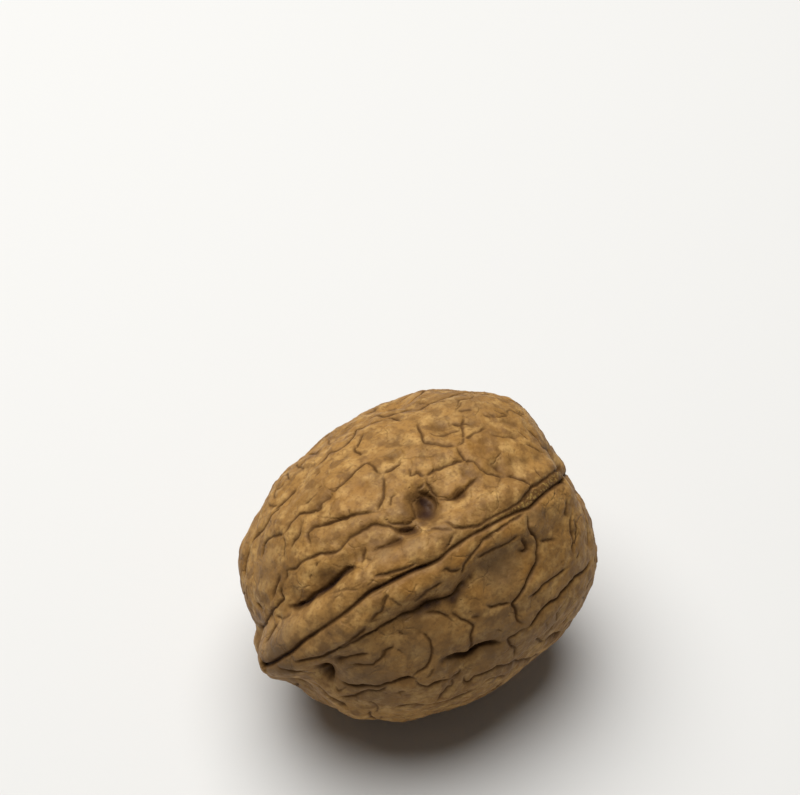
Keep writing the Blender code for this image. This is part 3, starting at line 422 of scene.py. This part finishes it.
# How strong the seam and its strip are, by how far right of the nut's middle, in mm.
seamStrength = {
    -18.5: 0.0, -17.6: 0.25, -16.6: 1.1, -12: 1.2, -9.5: 0.75, -7: 0.6, -5: 0.9, -1: 1.0, 2: 0.65, 9: 0.5,
    11: 0.7, 14: 0.85, 15.2: 0.4, 16: 0.1,
}
stripStrength = {3: 0.25, 6: 0.35, 9: 0.5, 11: 0.8, 13: 1.0}
seamOpens = (0.5, 3.0)  # mm beyond the drawing's ends where the seam is shut, and where it is open again
strengthSwing = 0.3  # how unevenly deep every line is, over spots of swingSize mm
swingSize = 1.7
shortLineFade = 0.7  # the most of a short line's half that its end takes up

camera = {
    "azimuth": -40.0,
    "elevation": 50.0,
    "distance": 300.0,  # mm
    "lens": 120.03,
    "sensor": 36.0,
    "nutRight": 0.00882,  # where the nut's middle lies, as slopes from the lens axis
    "nutUp": -0.05823,
    "clipStart": 0.01,  # metres
}


pairsAtOnce = 300000  # of a spot and a piece of line, to keep the memory small


def unit(vectors):
    return vectors / np.linalg.norm(vectors, axis=-1, keepdims=True)


def ease(low, high, value):
    share = np.clip((value - low) / (high - low), 0, 1)
    return share * share * (3 - 2 * share)


def turned(azimuth, elevation):  # right, up and backwards of someone who looks at the nut
    turn, lift = math.radians(azimuth), math.radians(elevation)
    right = np.array([math.cos(turn), math.sin(turn), 0.0])
    back = np.array([math.sin(turn) * math.cos(lift), -math.cos(turn) * math.cos(lift), math.sin(lift)])
    return right, np.cross(back, right), back


seamLift = math.radians(nutForm["seamFacesUp"])
along = np.array([1.0, 0.0, 0.0])
seamSide = np.array([0.0, -math.cos(seamLift), math.sin(seamLift)])
across = np.cross(along, seamSide)
drawnRight, drawnUp, viewer = turned(drawing["azimuth"], drawing["elevation"])


def bodyRadius(directions):
    f = nutForm
    x = directions @ along
    girth = np.hypot(directions @ seamSide / f["seamHalfWidth"], directions @ across / f["sideHalfWidth"])
    length = np.where(x < 0, f["tipLength"], f["baseLength"])
    squareness = np.where(x < 0, f["tipSquareness"], f["baseSquareness"])
    radius = (np.abs(x / length) ** squareness + girth**squareness) ** (-1 / squareness)
    fromTip = np.hypot(
        np.degrees(np.arctan2(directions @ seamSide, -x)) / f["beakAlongSeam"],
        (np.degrees(np.arctan2(directions @ across, -x)) - f["beakShift"]) / f["beakAcross"],
    )
    return radius + f["beakHeight"] * np.exp(-(fromTip ** f["beakFalloff"]))


def seamAngle(directions):
    return np.degrees(np.arctan2(directions @ seamSide, -directions @ along)) % 360


def crestRadius(directions):
    ridge = nutForm["ridge"]
    return bodyRadius(directions) + np.interp(seamAngle(directions), list(ridge), list(ridge.values()))


def surface(directions, radiusAt):
    return directions * radiusAt(directions)[:, None]


def smoothLine(points, step):
    knots = np.array([points[0], *points, points[-1]], float)
    curve = []
    for a, b, c, d in zip(knots, knots[1:], knots[2:], knots[3:]):
        count = max(1, round(float(np.linalg.norm(c - b)) / step))
        for t in np.arange(count) / count:
            curve.append(
                b + ((c - a) * t + (2 * a - 5 * b + 4 * c - d) * t**2 + (3 * b - a - 3 * c + d) * t**3) / 2
            )
    return np.array([*curve, knots[-1]])


def projected(points, radiusAt):  # from the drawing, along the line of sight, to the near side or the rim
    points = np.array(points, float)
    start = points[:, :1] * drawnRight + points[:, 1:] * drawnUp
    sight = unit(viewer * drawing["distance"] - start)
    depths = np.linspace(-nutForm["tipLength"], nutForm["tipLength"], drawing["sightSteps"])
    spots = start[:, None] + depths[:, None] * sight[:, None]
    height = np.linalg.norm(spots, axis=2) / bodyRadius(unit(spots).reshape(-1, 3)).reshape(len(points), -1)
    near = depths[height.argmin(axis=1)]
    far = np.full(len(points), drawing["sightReach"] * nutForm["tipLength"])
    for _ in range(drawing["sightHalvings"]):
        middle = (near + far) / 2
        spot = start + middle[:, None] * sight
        inside = np.linalg.norm(spot, axis=1) < radiusAt(unit(spot))
        near = np.where(inside, middle, near)
        far = np.where(inside, far, middle)
    return start + near[:, None] * sight


def distanceTo(line, spots):
    start, step = line[:-1], np.diff(line, axis=0)
    nearest = []
    for some in np.array_split(spots, len(spots) * len(step) // pairsAtOnce + 1):
        away = some[:, None] - start
        share = np.clip((away * step).sum(axis=2) / (step**2).sum(axis=1), 0, 1)
        nearest.append(np.linalg.norm(away - share[:, :, None] * step, axis=2).min(axis=1))
    return np.concatenate(nearest)


def seamRound():
    front = unit(projected(smoothLine(seamLine, drawing["coarseStep"]), crestRadius))
    first, last = seamAngle(front[[0, -1]])
    if first < last:
        first += 360
    offset = np.degrees(np.arcsin(front[[0, -1]] @ across))
    turn = np.linspace(last, first, farSeam["points"])[1:]
    share = (turn - last) / (first - last)
    wander = farSeam["wander"] * np.sin(farSeam["waves"] * np.pi * share) * np.sin(np.pi * share)
    tilt = np.radians(offset[1] + (offset[0] - offset[1]) * share + wander)
    turn = np.radians(turn)
    inPlane = np.sin(turn)[:, None] * seamSide - np.cos(turn)[:, None] * along
    return np.concatenate([front, np.cos(tilt)[:, None] * inPlane + np.sin(tilt)[:, None] * across])


seamLoop = seamRound()
seamOnBody = surface(seamLoop, bodyRadius)
rimPlaces = [surface(unit(projected([place], bodyRadius)), bodyRadius) for place, _, _ in rimShapes]


def seamDistance(directions):
    return distanceTo(seamOnBody, surface(directions, bodyRadius))


def formRadius(directions):
    f = nutForm
    body = bodyRadius(directions)
    spots = surface(directions, bodyRadius)
    onRidge = 1 - ease(f["lipShoulder"], f["lipFoot"], seamDistance(directions))
    radius = body + (crestRadius(directions) - body) * onRidge
    for centre, (_, reach, height) in zip(rimPlaces, rimShapes):
        radius += height * np.exp(-((np.linalg.norm(spots - centre, axis=1) / reach) ** 2))
    return radius + f["lumpHeight"] * np.array([noise.noise(Vector(spot / f["lumpSize"])) for spot in spots])


def bowed(start, end, bow, pieces):
    share = np.linspace(0, 1, pieces)[:, None]
    return unit(start * (1 - share) + end * share + np.cross(start, end) * bow * 4 * share * (1 - share))


def netLines(n, drawn):  # the edges of a net of cells on the hidden side, clear of what is drawn
    rng = random.Random(n["seed"])
    noise.seed_set(n["seed"])
    kept = np.empty((0, 3))
    for _ in range(n["tries"]):
        spot = unit(np.array([rng.gauss(0, 1) for _ in range(3)]))
        if len(kept) == 0 or np.linalg.norm(kept - spot, axis=1).min() > n["spacing"]:
            kept = np.vstack([kept, spot])
    net = bmesh.new()
    for spot in kept:
        net.verts.new(spot)
    bmesh.ops.convex_hull(net, input=net.verts)
    bmesh.ops.triangulate(net, faces=net.faces)
    deep, plain = [], []
    for edge in net.edges:
        start, end = unit(np.array([face.normal for face in edge.link_faces]) * (n["stretch"], 1, 1))
        leftOut = rng.random() < n["leftOut"]
        kind = deep if rng.random() < n["deep"] else plain
        line = bowed(start, end, rng.uniform(-1, 1) * n["bow"], n["pieces"])
        if leftOut or (line @ viewer).max() > n["beyond"] or seamDistance(line).min() < n["seamGap"]:
            continue
        line = surface(line, formRadius)
        if distanceTo(line, drawn).min() > n["drawnGap"]:
            line = smoothLine(line, drawing["coarseStep"])
            waver = np.array([noise.noise_vector(Vector(spot / n["waverSize"])) for spot in line])
            kind.append(line + n["waver"] * waver)
    net.free()
    return deep, plain


def lipFeet():
    f = lipFoot
    fromFront = np.roll(seamLoop, -int((seamLoop @ viewer).argmax()), axis=0)
    hidden = fromFront[fromFront @ viewer < f["beyond"]]
    share = np.linspace(0, 1, len(hidden))
    lines = []
    for side in (-1, 1):
        waver = f["waver"] * np.sin(f["waves"] * share + 2 * side) * np.sin(f["slowWaves"] * share + side)
        tilt = side * (f["gap"] + waver) / bodyRadius(hidden)
        line = surface(unit(hidden + tilt[:, None] * across), formRadius)
        lines += [piece[:-f["break"]] for piece in np.array_split(line, f["pieces"])]
    return lines


def linesOnShell():
    lines = {"seam": [surface(seamLoop, formRadius)]}
    drawnLines = {
        "hollow": hollowLines,
        "groove": grooveLines,
        "furrow": furrowLines,
        "crack": crackLines,
        "strip": stripLines,
    }
    for kind, drawn in drawnLines.items():
        lines[kind] = [projected(smoothLine(points, drawing["coarseStep"]), formRadius) for points in drawn]
    drawn = [line for kind in ("hollow", "groove", "furrow") for line in lines[kind]]
    for net in (hiddenNet, hiddenCracks):
        deep, plain = netLines(net, np.concatenate(drawn))
        lines["groove"] += deep
        lines[net["kind"]] += plain
    lines["groove"] += lipFeet()
    return lines


shellLines = linesOnShell()
guideBall = 17.5  # mm, the ball on which the tree measures how far a line is
print("lines on the shell:", {kind: len(lines) for kind, lines in shellLines.items()})


def guidePoints(kind, lines):  # loose vertices for the relief tree, and how strong the line is at each
    lowest, endLength = lineEnds[kind]
    points, strength = [], []
    for line in lines:
        fine = smoothLine(line, drawing["fineStep"])
        fromEnd = np.minimum(np.arange(len(fine)), np.arange(len(fine))[::-1]) * drawing["fineStep"]
        swing = np.array([1 + strengthSwing * noise.noise(Vector(spot / swingSize)) for spot in fine])
        points.extend(unit(fine) * guideBall)
        fade = min(endLength, fromEnd.max() * shortLineFade)
        strength.extend(swing * (lowest + (1 - lowest) * ease(0, fade, fromEnd)))
    if kind in ("seam", "strip"):
        steps = seamStrength if kind == "seam" else stripStrength
        right = np.array(points) @ drawnRight
        strength *= np.interp(right, list(steps), list(steps.values()))
    if kind == "seam":
        for end in unit(projected([seamLine[0], seamLine[-1]], crestRadius)) * guideBall:
            away = np.linalg.norm(np.array(points) - end, axis=1)
            strength *= np.where(np.array(points) @ viewer < end @ viewer, ease(*seamOpens, away), 1)
    mesh = bpy.data.meshes.new(kind + "Points")
    mesh.from_pydata([tuple(spot) for spot in points], [], [])
    mesh.attributes.new("strength", "FLOAT", "POINT").data.foreach_set("value", strength)
    guide = bpy.data.objects.new(kind + "Points", mesh)
    bpy.context.scene.collection.objects.link(guide)
    return guide


def ballGrid():  # a cube's faces cut into cells and pushed out to a ball, with cells of even size
    cells = nutForm["gridCells"]
    grid = bmesh.new()
    bmesh.ops.create_cube(grid, size=2)
    bmesh.ops.subdivide_edges(grid, edges=grid.edges, cuts=cells - 1, use_grid_fill=True)
    mesh = bpy.data.meshes.new("walnutShell")
    grid.to_mesh(mesh)
    grid.free()
    points = np.empty(len(mesh.vertices) * 3, np.float32)
    mesh.vertices.foreach_get("co", points)
    return mesh, unit(np.tan(points.reshape(-1, 3).astype(float) * math.pi / 4))


def baseShell():
    f = nutForm
    mesh, directions = ballGrid()
    body = bodyRadius(directions)
    form = formRadius(directions)
    spots = directions * form[:, None]
    tintsAndShade = {name: np.zeros(len(form)) for name in ("brownAndShade", "ochre", "grey")}
    # Dents darken the colour too: a brown stain that goes to painted shade, near black, in pits and hollows.
    for place, radius, depth, brownAndShade in dents:
        away = np.linalg.norm(spots - projected([place], formRadius), axis=1)
        form -= depth * np.exp(-((away / radius) ** 2))
        tintsAndShade["brownAndShade"] = np.maximum(tintsAndShade["brownAndShade"], brownAndShade * np.exp(-((away / radius) ** 2)))
    # Ochre stains, and grey that is partly the shell's colour and partly painted shade.
    for place, radius, tint, strength in tints:
        away = np.linalg.norm(spots - projected([place], formRadius), axis=1)
        tintsAndShade[tint] = np.maximum(tintsAndShade[tint], strength * np.exp(-((away / radius) ** 2)))
    under = np.hypot(directions[:, 0] * body - f["restCentre"], directions[:, 1] * body)
    plain = (directions[:, 2] < 0) * (1 - ease(f["restRadius"], f["restRadius"] + f["restEdge"], under))
    points = directions * (body * plain + form * (1 - plain))[:, None]
    mesh.vertices.foreach_set("co", np.ascontiguousarray(points, np.float32).ravel())
    for name, values in {"plain": plain, **tintsAndShade}.items():
        mesh.attributes.new(name, "FLOAT", "POINT").data.foreach_set("value", values.astype(np.float32))
    mesh.shade_smooth()
    shell = bpy.data.objects.new("walnutShell", mesh)
    bpy.context.scene.collection.objects.link(shell)
    return shell


def addNode(tree, kind, links=None, output=0, **settings):  # gives the output that is asked for
    node = tree.nodes.new(kind)
    for name, value in settings.items():
        setattr(node, name, value)
    for socket, source in (links or {}).items():
        target = node.inputs[socket]
        if isinstance(source, bpy.types.NodeSocket):
            tree.links.new(source, target)
        else:
            target.default_value = source
    return node.outputs[output]


def newTree(name, inputs):
    tree = bpy.data.node_groups.new(name, "GeometryNodeTree")
    tree.interface.new_socket("Geometry", in_out="INPUT", socket_type="NodeSocketGeometry")
    tree.interface.new_socket("Geometry", in_out="OUTPUT", socket_type="NodeSocketGeometry")
    for label, kind, value in inputs:
        socket = tree.interface.new_socket(label, in_out="INPUT", socket_type=kind)
        if value is not None:
            socket.default_value = value
    return tree, tree.nodes.new("NodeGroupInput").outputs


# Noise sizes and heights in mm: how the furrows' edges waver, then swells, dimples and wrinkles of the pads.
relief = {
    "wanderSize": 1.5,
    "wanderDetail": 2.0,
    "wander": 0.16,
    "bumpSize": 2.6,
    "bumpDetail": 1.0,
    "bump": 0.17,
    "wrinkleSize": 1.1,
    "wrinkleDetail": 2.0,
    "wrinkle": 0.09,
    "grainSize": 0.32,
    "grainDetail": 1.0,
    "grain": 0.015,
    "subdivisions": 2,
    "triangles": 190000,
}

# What the lines make of a spot: the effect, and the sizes in lineKinds that say how far and how much.
lineEffects = [
    ("depth", "width", "depth"),
    ("sink", "reach", "sink"),
    # How dark a line is painted: the furrows' own brown, and painted shade in the seam's groove and the
    # hollows.
    ("dark", "darkWidth", "dark"),
    # A wider darkening over the line's valley: brown stain and painted shade, strongest round the hollows.
    ("soak", "reach", "dark"),
]


def reliefTree():
    noises = ("wander", "bump", "wrinkle", "grain")
    inputs = [(kind + " points", "NodeSocketObject", None) for kind in lineKinds]
    for kind, sizes in lineKinds.items():
        inputs += [(f"{kind} {size}", "NodeSocketFloat", value) for size, value in sizes.items()]
    inputs += [(name, "NodeSocketFloat", relief[name]) for name in noises]
    inputs += [(name + " size", "NodeSocketFloat", relief[name + "Size"]) for name in noises]
    tree, given = newTree("walnutRelief", inputs)

    def bell(distance, width):  # 1 on the line, falling to nothing at about twice the width
        share = addNode(tree, "ShaderNodeMath", {0: distance, 1: width}, operation="DIVIDE")
        square = addNode(tree, "ShaderNodeMath", {0: share, 1: share}, operation="MULTIPLY")
        below = addNode(tree, "ShaderNodeMath", {0: square, 1: -1.0}, operation="MULTIPLY")
        return addNode(tree, "ShaderNodeMath", {0: below}, operation="EXPONENT")

    spot = addNode(tree, "GeometryNodeInputPosition")
    noiseAt = {}
    for name in noises:
        scale = addNode(tree, "ShaderNodeMath", {0: 1.0, 1: given[name + " size"]}, operation="DIVIDE")
        links = {"Vector": spot, "Scale": scale, "Detail": relief[name + "Detail"]}
        noiseAt[name] = addNode(tree, "ShaderNodeTexNoise", links, normalize=False)

    # The spot on the ball that the lines are on, as it is and wandering.
    links = {0: noiseAt["wander"].node.outputs["Color"], "Scale": given["wander"]}
    wander = addNode(tree, "ShaderNodeVectorMath", links, operation="SCALE")
    wandered = addNode(tree, "ShaderNodeVectorMath", {0: spot, 1: wander}, operation="ADD")
    onBall = []
    for place in (spot, wandered):
        way = addNode(tree, "ShaderNodeVectorMath", {0: place}, operation="NORMALIZE")
        onBall.append(addNode(tree, "ShaderNodeVectorMath", {0: way, "Scale": guideBall}, operation="SCALE"))
    steady, unsteady = onBall
    size = addNode(tree, "ShaderNodeVectorMath", {0: spot}, "Value", operation="LENGTH")
    size = addNode(tree, "ShaderNodeMath", {0: size, 1: guideBall}, operation="DIVIDE")

    strongest = {effect: 0.0 for effect, _, _ in lineEffects}
    for kind in lineKinds:
        place = steady if kind in ("seam", "strip") else unsteady
        guide = addNode(tree, "GeometryNodeObjectInfo", {"Object": given[kind + " points"]}, "Geometry")
        index = addNode(tree, "GeometryNodeSampleNearest", {0: guide, "Sample Position": place})
        looked = {0: guide, "Index": index, "Value": spot}
        nearest = addNode(tree, "GeometryNodeSampleIndex", looked, data_type="FLOAT_VECTOR")
        strength = addNode(tree, "GeometryNodeInputNamedAttribute", {"Name": "strength"}, data_type="FLOAT")
        looked["Value"] = strength
        strength = addNode(tree, "GeometryNodeSampleIndex", looked, data_type="FLOAT")
        gap = addNode(tree, "ShaderNodeVectorMath", {0: place, 1: nearest}, "Value", operation="DISTANCE")
        gap = addNode(tree, "ShaderNodeMath", {0: gap, 1: size}, operation="MULTIPLY")
        for effect, reach, amount in lineEffects:
            share = bell(gap, given[f"{kind} {reach}"])
            share = addNode(tree, "ShaderNodeMath", {0: share, 1: strength}, operation="MULTIPLY")
            links = {0: share, 1: given[f"{kind} {amount}"]}
            links = {0: strongest[effect], 1: addNode(tree, "ShaderNodeMath", links, operation="MULTIPLY")}
            strongest[effect] = addNode(tree, "ShaderNodeMath", links, operation="MAXIMUM")
            if kind == "strip" and effect == "depth":
                onStrip = share

    outwards = addNode(tree, "ShaderNodeMath", {0: strongest["depth"], 1: strongest["sink"]}, operation="ADD")
    outwards = addNode(tree, "ShaderNodeMath", {0: outwards, 1: -1.0}, operation="MULTIPLY")
    for name in ("bump", "wrinkle", "grain"):
        swell = addNode(tree, "ShaderNodeMath", {0: noiseAt[name], 1: given[name]}, operation="MULTIPLY")
        outwards = addNode(tree, "ShaderNodeMath", {0: outwards, 1: swell}, operation="ADD")
    plain = addNode(tree, "GeometryNodeInputNamedAttribute", {"Name": "plain"}, data_type="FLOAT")
    rough = addNode(tree, "ShaderNodeMath", {0: 1.0, 1: plain}, operation="SUBTRACT")
    outwards = addNode(tree, "ShaderNodeMath", {0: outwards, 1: rough}, operation="MULTIPLY")
    way = addNode(tree, "ShaderNodeVectorMath", {0: spot}, operation="NORMALIZE")
    offset = addNode(tree, "ShaderNodeVectorMath", {0: way, "Scale": outwards}, operation="SCALE")

    shell = given["Geometry"]
    # Kept for the shell's colour: how dark the lines are painted, with painted shade in the seam and the
    # hollows, the painted darkening of their valleys, and the strip.
    for name, value in {"dark": strongest["dark"], "soak": strongest["soak"], "strip": onStrip}.items():
        links = {0: shell, "Name": name, "Value": value}
        shell = addNode(tree, "GeometryNodeStoreNamedAttribute", links, data_type="FLOAT", domain="POINT")
    shell = addNode(tree, "GeometryNodeSetPosition", {"Geometry": shell, "Offset": offset})
    shell = addNode(tree, "GeometryNodeRealizeInstances", {0: shell})
    shell = addNode(tree, "GeometryNodeSetMaterial", {"Geometry": shell, "Material": shellMaterial})
    tree.links.new(shell, tree.nodes.new("NodeGroupOutput").inputs[0])
    return tree


def setInput(modifier, name, value):
    for item in modifier.node_group.interface.items_tree:
        if item.item_type == "SOCKET" and item.in_out == "INPUT" and item.name == name:
            modifier[item.identifier] = value


def linearColour(text):
    parts = [int(text[k:k + 2], 16) / 255 for k in (1, 3, 5)]
    return (*[c / 12.92 if c <= 0.04045 else ((c + 0.055) / 1.055) ** 2.4 for c in parts], 1.0)


# Walnut shell: dry lignified wood. The pads are smooth with a satin sheen and mottled tan. Husk juice has dried
# brown in the furrows; the near black in the seam's groove, the hollows and the pits is painted shade. The
# strip in the seam is golden and crumbly.
shellFinish = {
    "pad": "#A2783F",
    "padPale": "#C59C5E",
    "padDark": "#715029",
    "ochre": "#9F6B24",
    "grey": "#6F573C",
    # brown stain, and painted shade in small pits and crevices
    "stainAndShade": "#5E4120",
    "furrow": "#563A19",
    # painted shade: near black for the seam's groove, the hollows and the pits
    "foldShade": "#382317",
    "strip": "#6C4C25",
    "crumb": "#A38246",
    "roughness": 0.6,
    "furrowRoughness": 0.85,
    "unevenRoughness": 0.16,
    "specular": 0.18,
    "veinSize": 2.4,  # mm, like the sizes below
    "veinBend": 0.9,
    "poreSize": 1.1,
    "bumpDepth": 0.09,
    "bumpStrength": 0.8,
    "swellHeight": 1.5,  # shares of the specks' height
    "veinDepth": 0.9,
}

# Cloudy patterns: their size in mm, their detail, and a shift in metres that keeps them apart.
shellClouds = {
    "patch": (5.0, 3.0, 0.0),
    "paleMottle": (1.5, 4.0, 0.1),
    "darkMottle": (1.5, 3.0, 0.4),
    "speck": (0.4, 2.0, 0.2),
    "crumb": (0.35, 3.0, 0.0),
    "veinBend": (1.2, 2.0, 0.0),
    "veinBreak": (3.1, 1.0, 0.3),
    "uneven": (0.8, 3.0, 0.5),
    "grain": (0.4, 3.0, 0.0),
    "swell": (1.3, 2.0, 0.7),
}

# Washes of colour, one over the other: what they follow, where they set in, where they are full, how much
# they cover then, and their colour.
shellWashes = [
    ("patch", 0.35, 0.8, 0.8, "padDark"),
    ("paleMottle", 0.46, 0.7, 0.75, "padPale"),
    ("darkMottle", 0.52, 0.64, 0.65, "padDark"),
    ("speck", 0.5, 0.72, 0.55, "padDark"),
    ("ochre", 0.0, 1.0, 0.75, "ochre"),
    # grey: partly the shell's own colour, partly painted shade
    ("grey", 0.0, 1.25, 1.0, "grey"),
    ("mark", 0.0, 1.0, 0.25, "furrow"),
    # painted shade and brown stain over each line's valley
    ("soak", 0.1, 1.0, 0.8, "padDark"),
    ("strip", 0.35, 0.6, 1.0, "crumbs"),
    ("brownAndShade", 0.1, 1.1, 0.95, "stainAndShade"),
    # painted shade: pits and hollows go near black
    ("brownAndShade", 1.0, 1.8, 1.0, "foldShade"),
    ("dark", 0.1, 0.45, 1.0, "furrow"),
    # painted shade: the seam's groove and the hollows go near black
    ("dark", 0.55, 1.0, 1.0, "foldShade"),
]


def shellOfWalnut():
    f = shellFinish
    material = bpy.data.materials.new("walnutShellWood")
    material.use_nodes = True
    tree = material.node_tree
    principled = tree.nodes["Principled BSDF"]
    coords = addNode(tree, "ShaderNodeTexCoord", output="Object")

    follows = {}
    for name, (size, detail, shift) in shellClouds.items():
        place = addNode(tree, "ShaderNodeVectorMath", {0: coords, 1: (shift, shift, shift)}, operation="ADD")
        links = {"Vector": place, "Scale": 1 / (size * mm), "Detail": detail}
        follows[name] = addNode(tree, "ShaderNodeTexNoise", links)
    for name in ("ochre", "grey", "brownAndShade", "dark", "soak", "strip"):
        follows[name] = addNode(tree, "ShaderNodeAttribute", output="Fac", attribute_name=name)

    # Faint veins between the furrows, broken off here and there, and a few pores.
    links = {0: follows["veinBend"].node.outputs["Color"], "Scale": f["veinBend"] * mm}
    bend = addNode(tree, "ShaderNodeVectorMath", links, operation="SCALE")
    bent = addNode(tree, "ShaderNodeVectorMath", {0: coords, 1: bend}, operation="ADD")
    links = {"Vector": bent, "Scale": 1 / (f["veinSize"] * mm)}
    toVein = addNode(tree, "ShaderNodeTexVoronoi", links, "Distance", feature="DISTANCE_TO_EDGE")
    links = {"Vector": bent, "Scale": 1 / (f["poreSize"] * mm)}
    toPore = addNode(tree, "ShaderNodeTexVoronoi", links, "Distance")
    chance = addNode(tree, "ShaderNodeSeparateColor", {0: toPore.node.outputs["Color"]})
    shares = {}
    for name, source, low, high in (
        ("vein", toVein, 0.07, 0.0),
        ("unbroken", follows["veinBreak"], 0.48, 0.62),
        ("pore", toPore, 0.16, 0.06),
        ("chosen", chance, 0.72, 0.8),
        ("crumb", follows["crumb"], 0.48, 0.62),
    ):
        links = {"Value": source, "From Min": low, "From Max": high}
        shares[name] = addNode(tree, "ShaderNodeMapRange", links)
    veins = addNode(tree, "ShaderNodeMath", {0: shares["vein"], 1: shares["unbroken"]}, operation="MULTIPLY")
    pores = addNode(tree, "ShaderNodeMath", {0: shares["pore"], 1: shares["chosen"]}, operation="MULTIPLY")
    follows["mark"] = addNode(tree, "ShaderNodeMath", {0: veins, 1: pores}, operation="MAXIMUM")

    tones = {name: linearColour(value) for name, value in f.items() if isinstance(value, str)}
    links = {0: shares["crumb"], 6: tones["strip"], 7: tones["crumb"]}
    tones["crumbs"] = addNode(tree, "ShaderNodeMix", links, 2, data_type="RGBA")
    colour = tones["pad"]
    for source, low, high, most, tone in shellWashes:
        links = {"Value": follows[source], "From Min": low, "From Max": high, "To Max": most}
        links = {0: addNode(tree, "ShaderNodeMapRange", links), 6: colour, 7: tones[tone]}
        colour = addNode(tree, "ShaderNodeMix", links, 2, data_type="RGBA")
    tree.links.new(colour, principled.inputs["Base Color"])

    # Rougher in the furrows, and uneven everywhere.
    roughness = f["roughness"] - f["unevenRoughness"] / 2
    for source, low, high, more in (
        ("dark", 0.1, 0.6, f["furrowRoughness"] - f["roughness"]),
        ("uneven", 0.3, 0.7, f["unevenRoughness"]),
    ):
        links = {"Value": follows[source], "From Min": low, "From Max": high, "To Max": more}
        links = {0: addNode(tree, "ShaderNodeMapRange", links), 1: roughness}
        roughness = addNode(tree, "ShaderNodeMath", links, operation="ADD")
    tree.links.new(roughness, principled.inputs["Roughness"])
    principled.inputs["Specular IOR Level"].default_value = f["specular"]

    height = follows["grain"]
    for source, factor in (("swell", f["swellHeight"]), ("mark", -f["veinDepth"])):
        part = addNode(tree, "ShaderNodeMath", {0: follows[source], 1: factor}, operation="MULTIPLY")
        height = addNode(tree, "ShaderNodeMath", {0: height, 1: part}, operation="ADD")
    links = {"Height": height, "Strength": f["bumpStrength"], "Distance": f["bumpDepth"] * mm}
    tree.links.new(addNode(tree, "ShaderNodeBump", links), principled.inputs["Normal"])
    return material


shellMaterial = shellOfWalnut()


def dressedShell():
    shell = baseShell()
    rounding = shell.modifiers.new("rounding", "SUBSURF")
    rounding.levels = rounding.render_levels = relief["subdivisions"]
    cutting = shell.modifiers.new("relief", "NODES")
    cutting.node_group = reliefTree()
    guides = {kind: guidePoints(kind, lines) for kind, lines in shellLines.items()}
    for kind, guide in guides.items():
        setInput(cutting, kind + " points", guide)
    thinning = shell.modifiers.new("thinning", "DECIMATE")
    fineTriangles = 2 * len(shell.data.polygons) * 4 ** relief["subdivisions"]
    thinning.ratio = relief["triangles"] / fineTriangles
    depsgraph = bpy.context.evaluated_depsgraph_get()
    mesh = bpy.data.meshes.new_from_object(shell.evaluated_get(depsgraph))
    shell.modifiers.clear()
    for guide in guides.values():
        bpy.data.objects.remove(guide)
    shell.data = mesh
    print("shell:", len(mesh.vertices), "points,", len(mesh.polygons), "faces")
    return shell


def putInPlace(shell):  # stands the nut where the CAD nut is, on its flat spot
    points = np.empty(len(shell.data.vertices) * 3, np.float32)
    shell.data.vertices.foreach_get("co", points)
    points = points.reshape(-1, 3).astype(float)
    bottom = -bodyRadius(np.array([[0.0, 0.0, -1.0]]))[0] + nutForm["restDepth"]
    points[:, 2] = np.maximum(points[:, 2], bottom)
    low, high = points.min(axis=0), points.max(axis=0)
    cadMiddle = np.array((cadLow + cadHigh) / 2 / mm)
    shift = np.array([*(cadMiddle - (low + high) / 2)[:2], -bottom])
    shell.data.vertices.foreach_set("co", np.ascontiguousarray((points + shift) * mm, np.float32).ravel())
    shell.data.update()
    return shift


walnut = dressedShell()
nutMiddle = putInPlace(walnut)
print("nut's middle in mm:", nutMiddle.round(3))
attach(walnut, "root")
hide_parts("walnut")


def addCamera():
    c = camera
    right, up, back = turned(c["azimuth"], c["elevation"])
    toNut = c["distance"] * unit(np.array([c["nutRight"], c["nutUp"], -1.0]))
    place = (nutMiddle - toNut[0] * right - toNut[1] * up - toNut[2] * back) * mm
    data = bpy.data.cameras.new("camera")
    data.lens, data.sensor_width = c["lens"], c["sensor"]
    data.clip_start = c["clipStart"]
    eye = bpy.data.objects.new("camera", data)
    turn = np.stack([right, up, back], axis=1)
    eye.matrix_world = Matrix([(*row, there) for row, there in zip(turn, place)] + [(0, 0, 0, 1)])
    bpy.context.scene.collection.objects.link(eye)
    bpy.context.scene.camera = eye


# A pale paper floor under one big soft light, in metres and watts.
studio = {
    "floor": "#D9D8D5",
    "floorRoughness": 0.9,
    "floorSize": 3.0,
    "keyPower": 6.5,
    "keySize": 0.7,
    "keyPlace": (0.02, 0.175, 0.61),
    "world": "#FFFFFF",
    "worldStrength": 0.08,
}


def addStudio():
    s = studio
    bpy.ops.mesh.primitive_plane_add(size=s["floorSize"])
    floor = bpy.context.object
    floor.name = "floor"
    paper = bpy.data.materials.new("paperFloor")
    paper.use_nodes = True
    matt = paper.node_tree.nodes["Principled BSDF"].inputs
    matt["Base Color"].default_value = linearColour(s["floor"])
    matt["Roughness"].default_value = s["floorRoughness"]
    floor.data.materials.append(paper)
    light = bpy.data.lights.new("softBox", "AREA")
    light.shape = "DISK"
    light.size = s["keySize"]
    light.energy = s["keyPower"]
    lamp = bpy.data.objects.new("softBox", light)
    lamp.location = s["keyPlace"]
    lamp.rotation_euler = Vector(s["keyPlace"]).to_track_quat("Z", "Y").to_euler()
    bpy.context.scene.collection.objects.link(lamp)
    world = bpy.data.worlds.new("studio")
    world.use_nodes = True
    sky = world.node_tree.nodes["Background"].inputs
    sky["Color"].default_value = linearColour(s["world"])
    sky["Strength"].default_value = s["worldStrength"]
    bpy.context.scene.world = world
    bpy.context.scene.view_settings.view_transform = "Standard"


addCamera()
addStudio()
print("camera and studio ready")
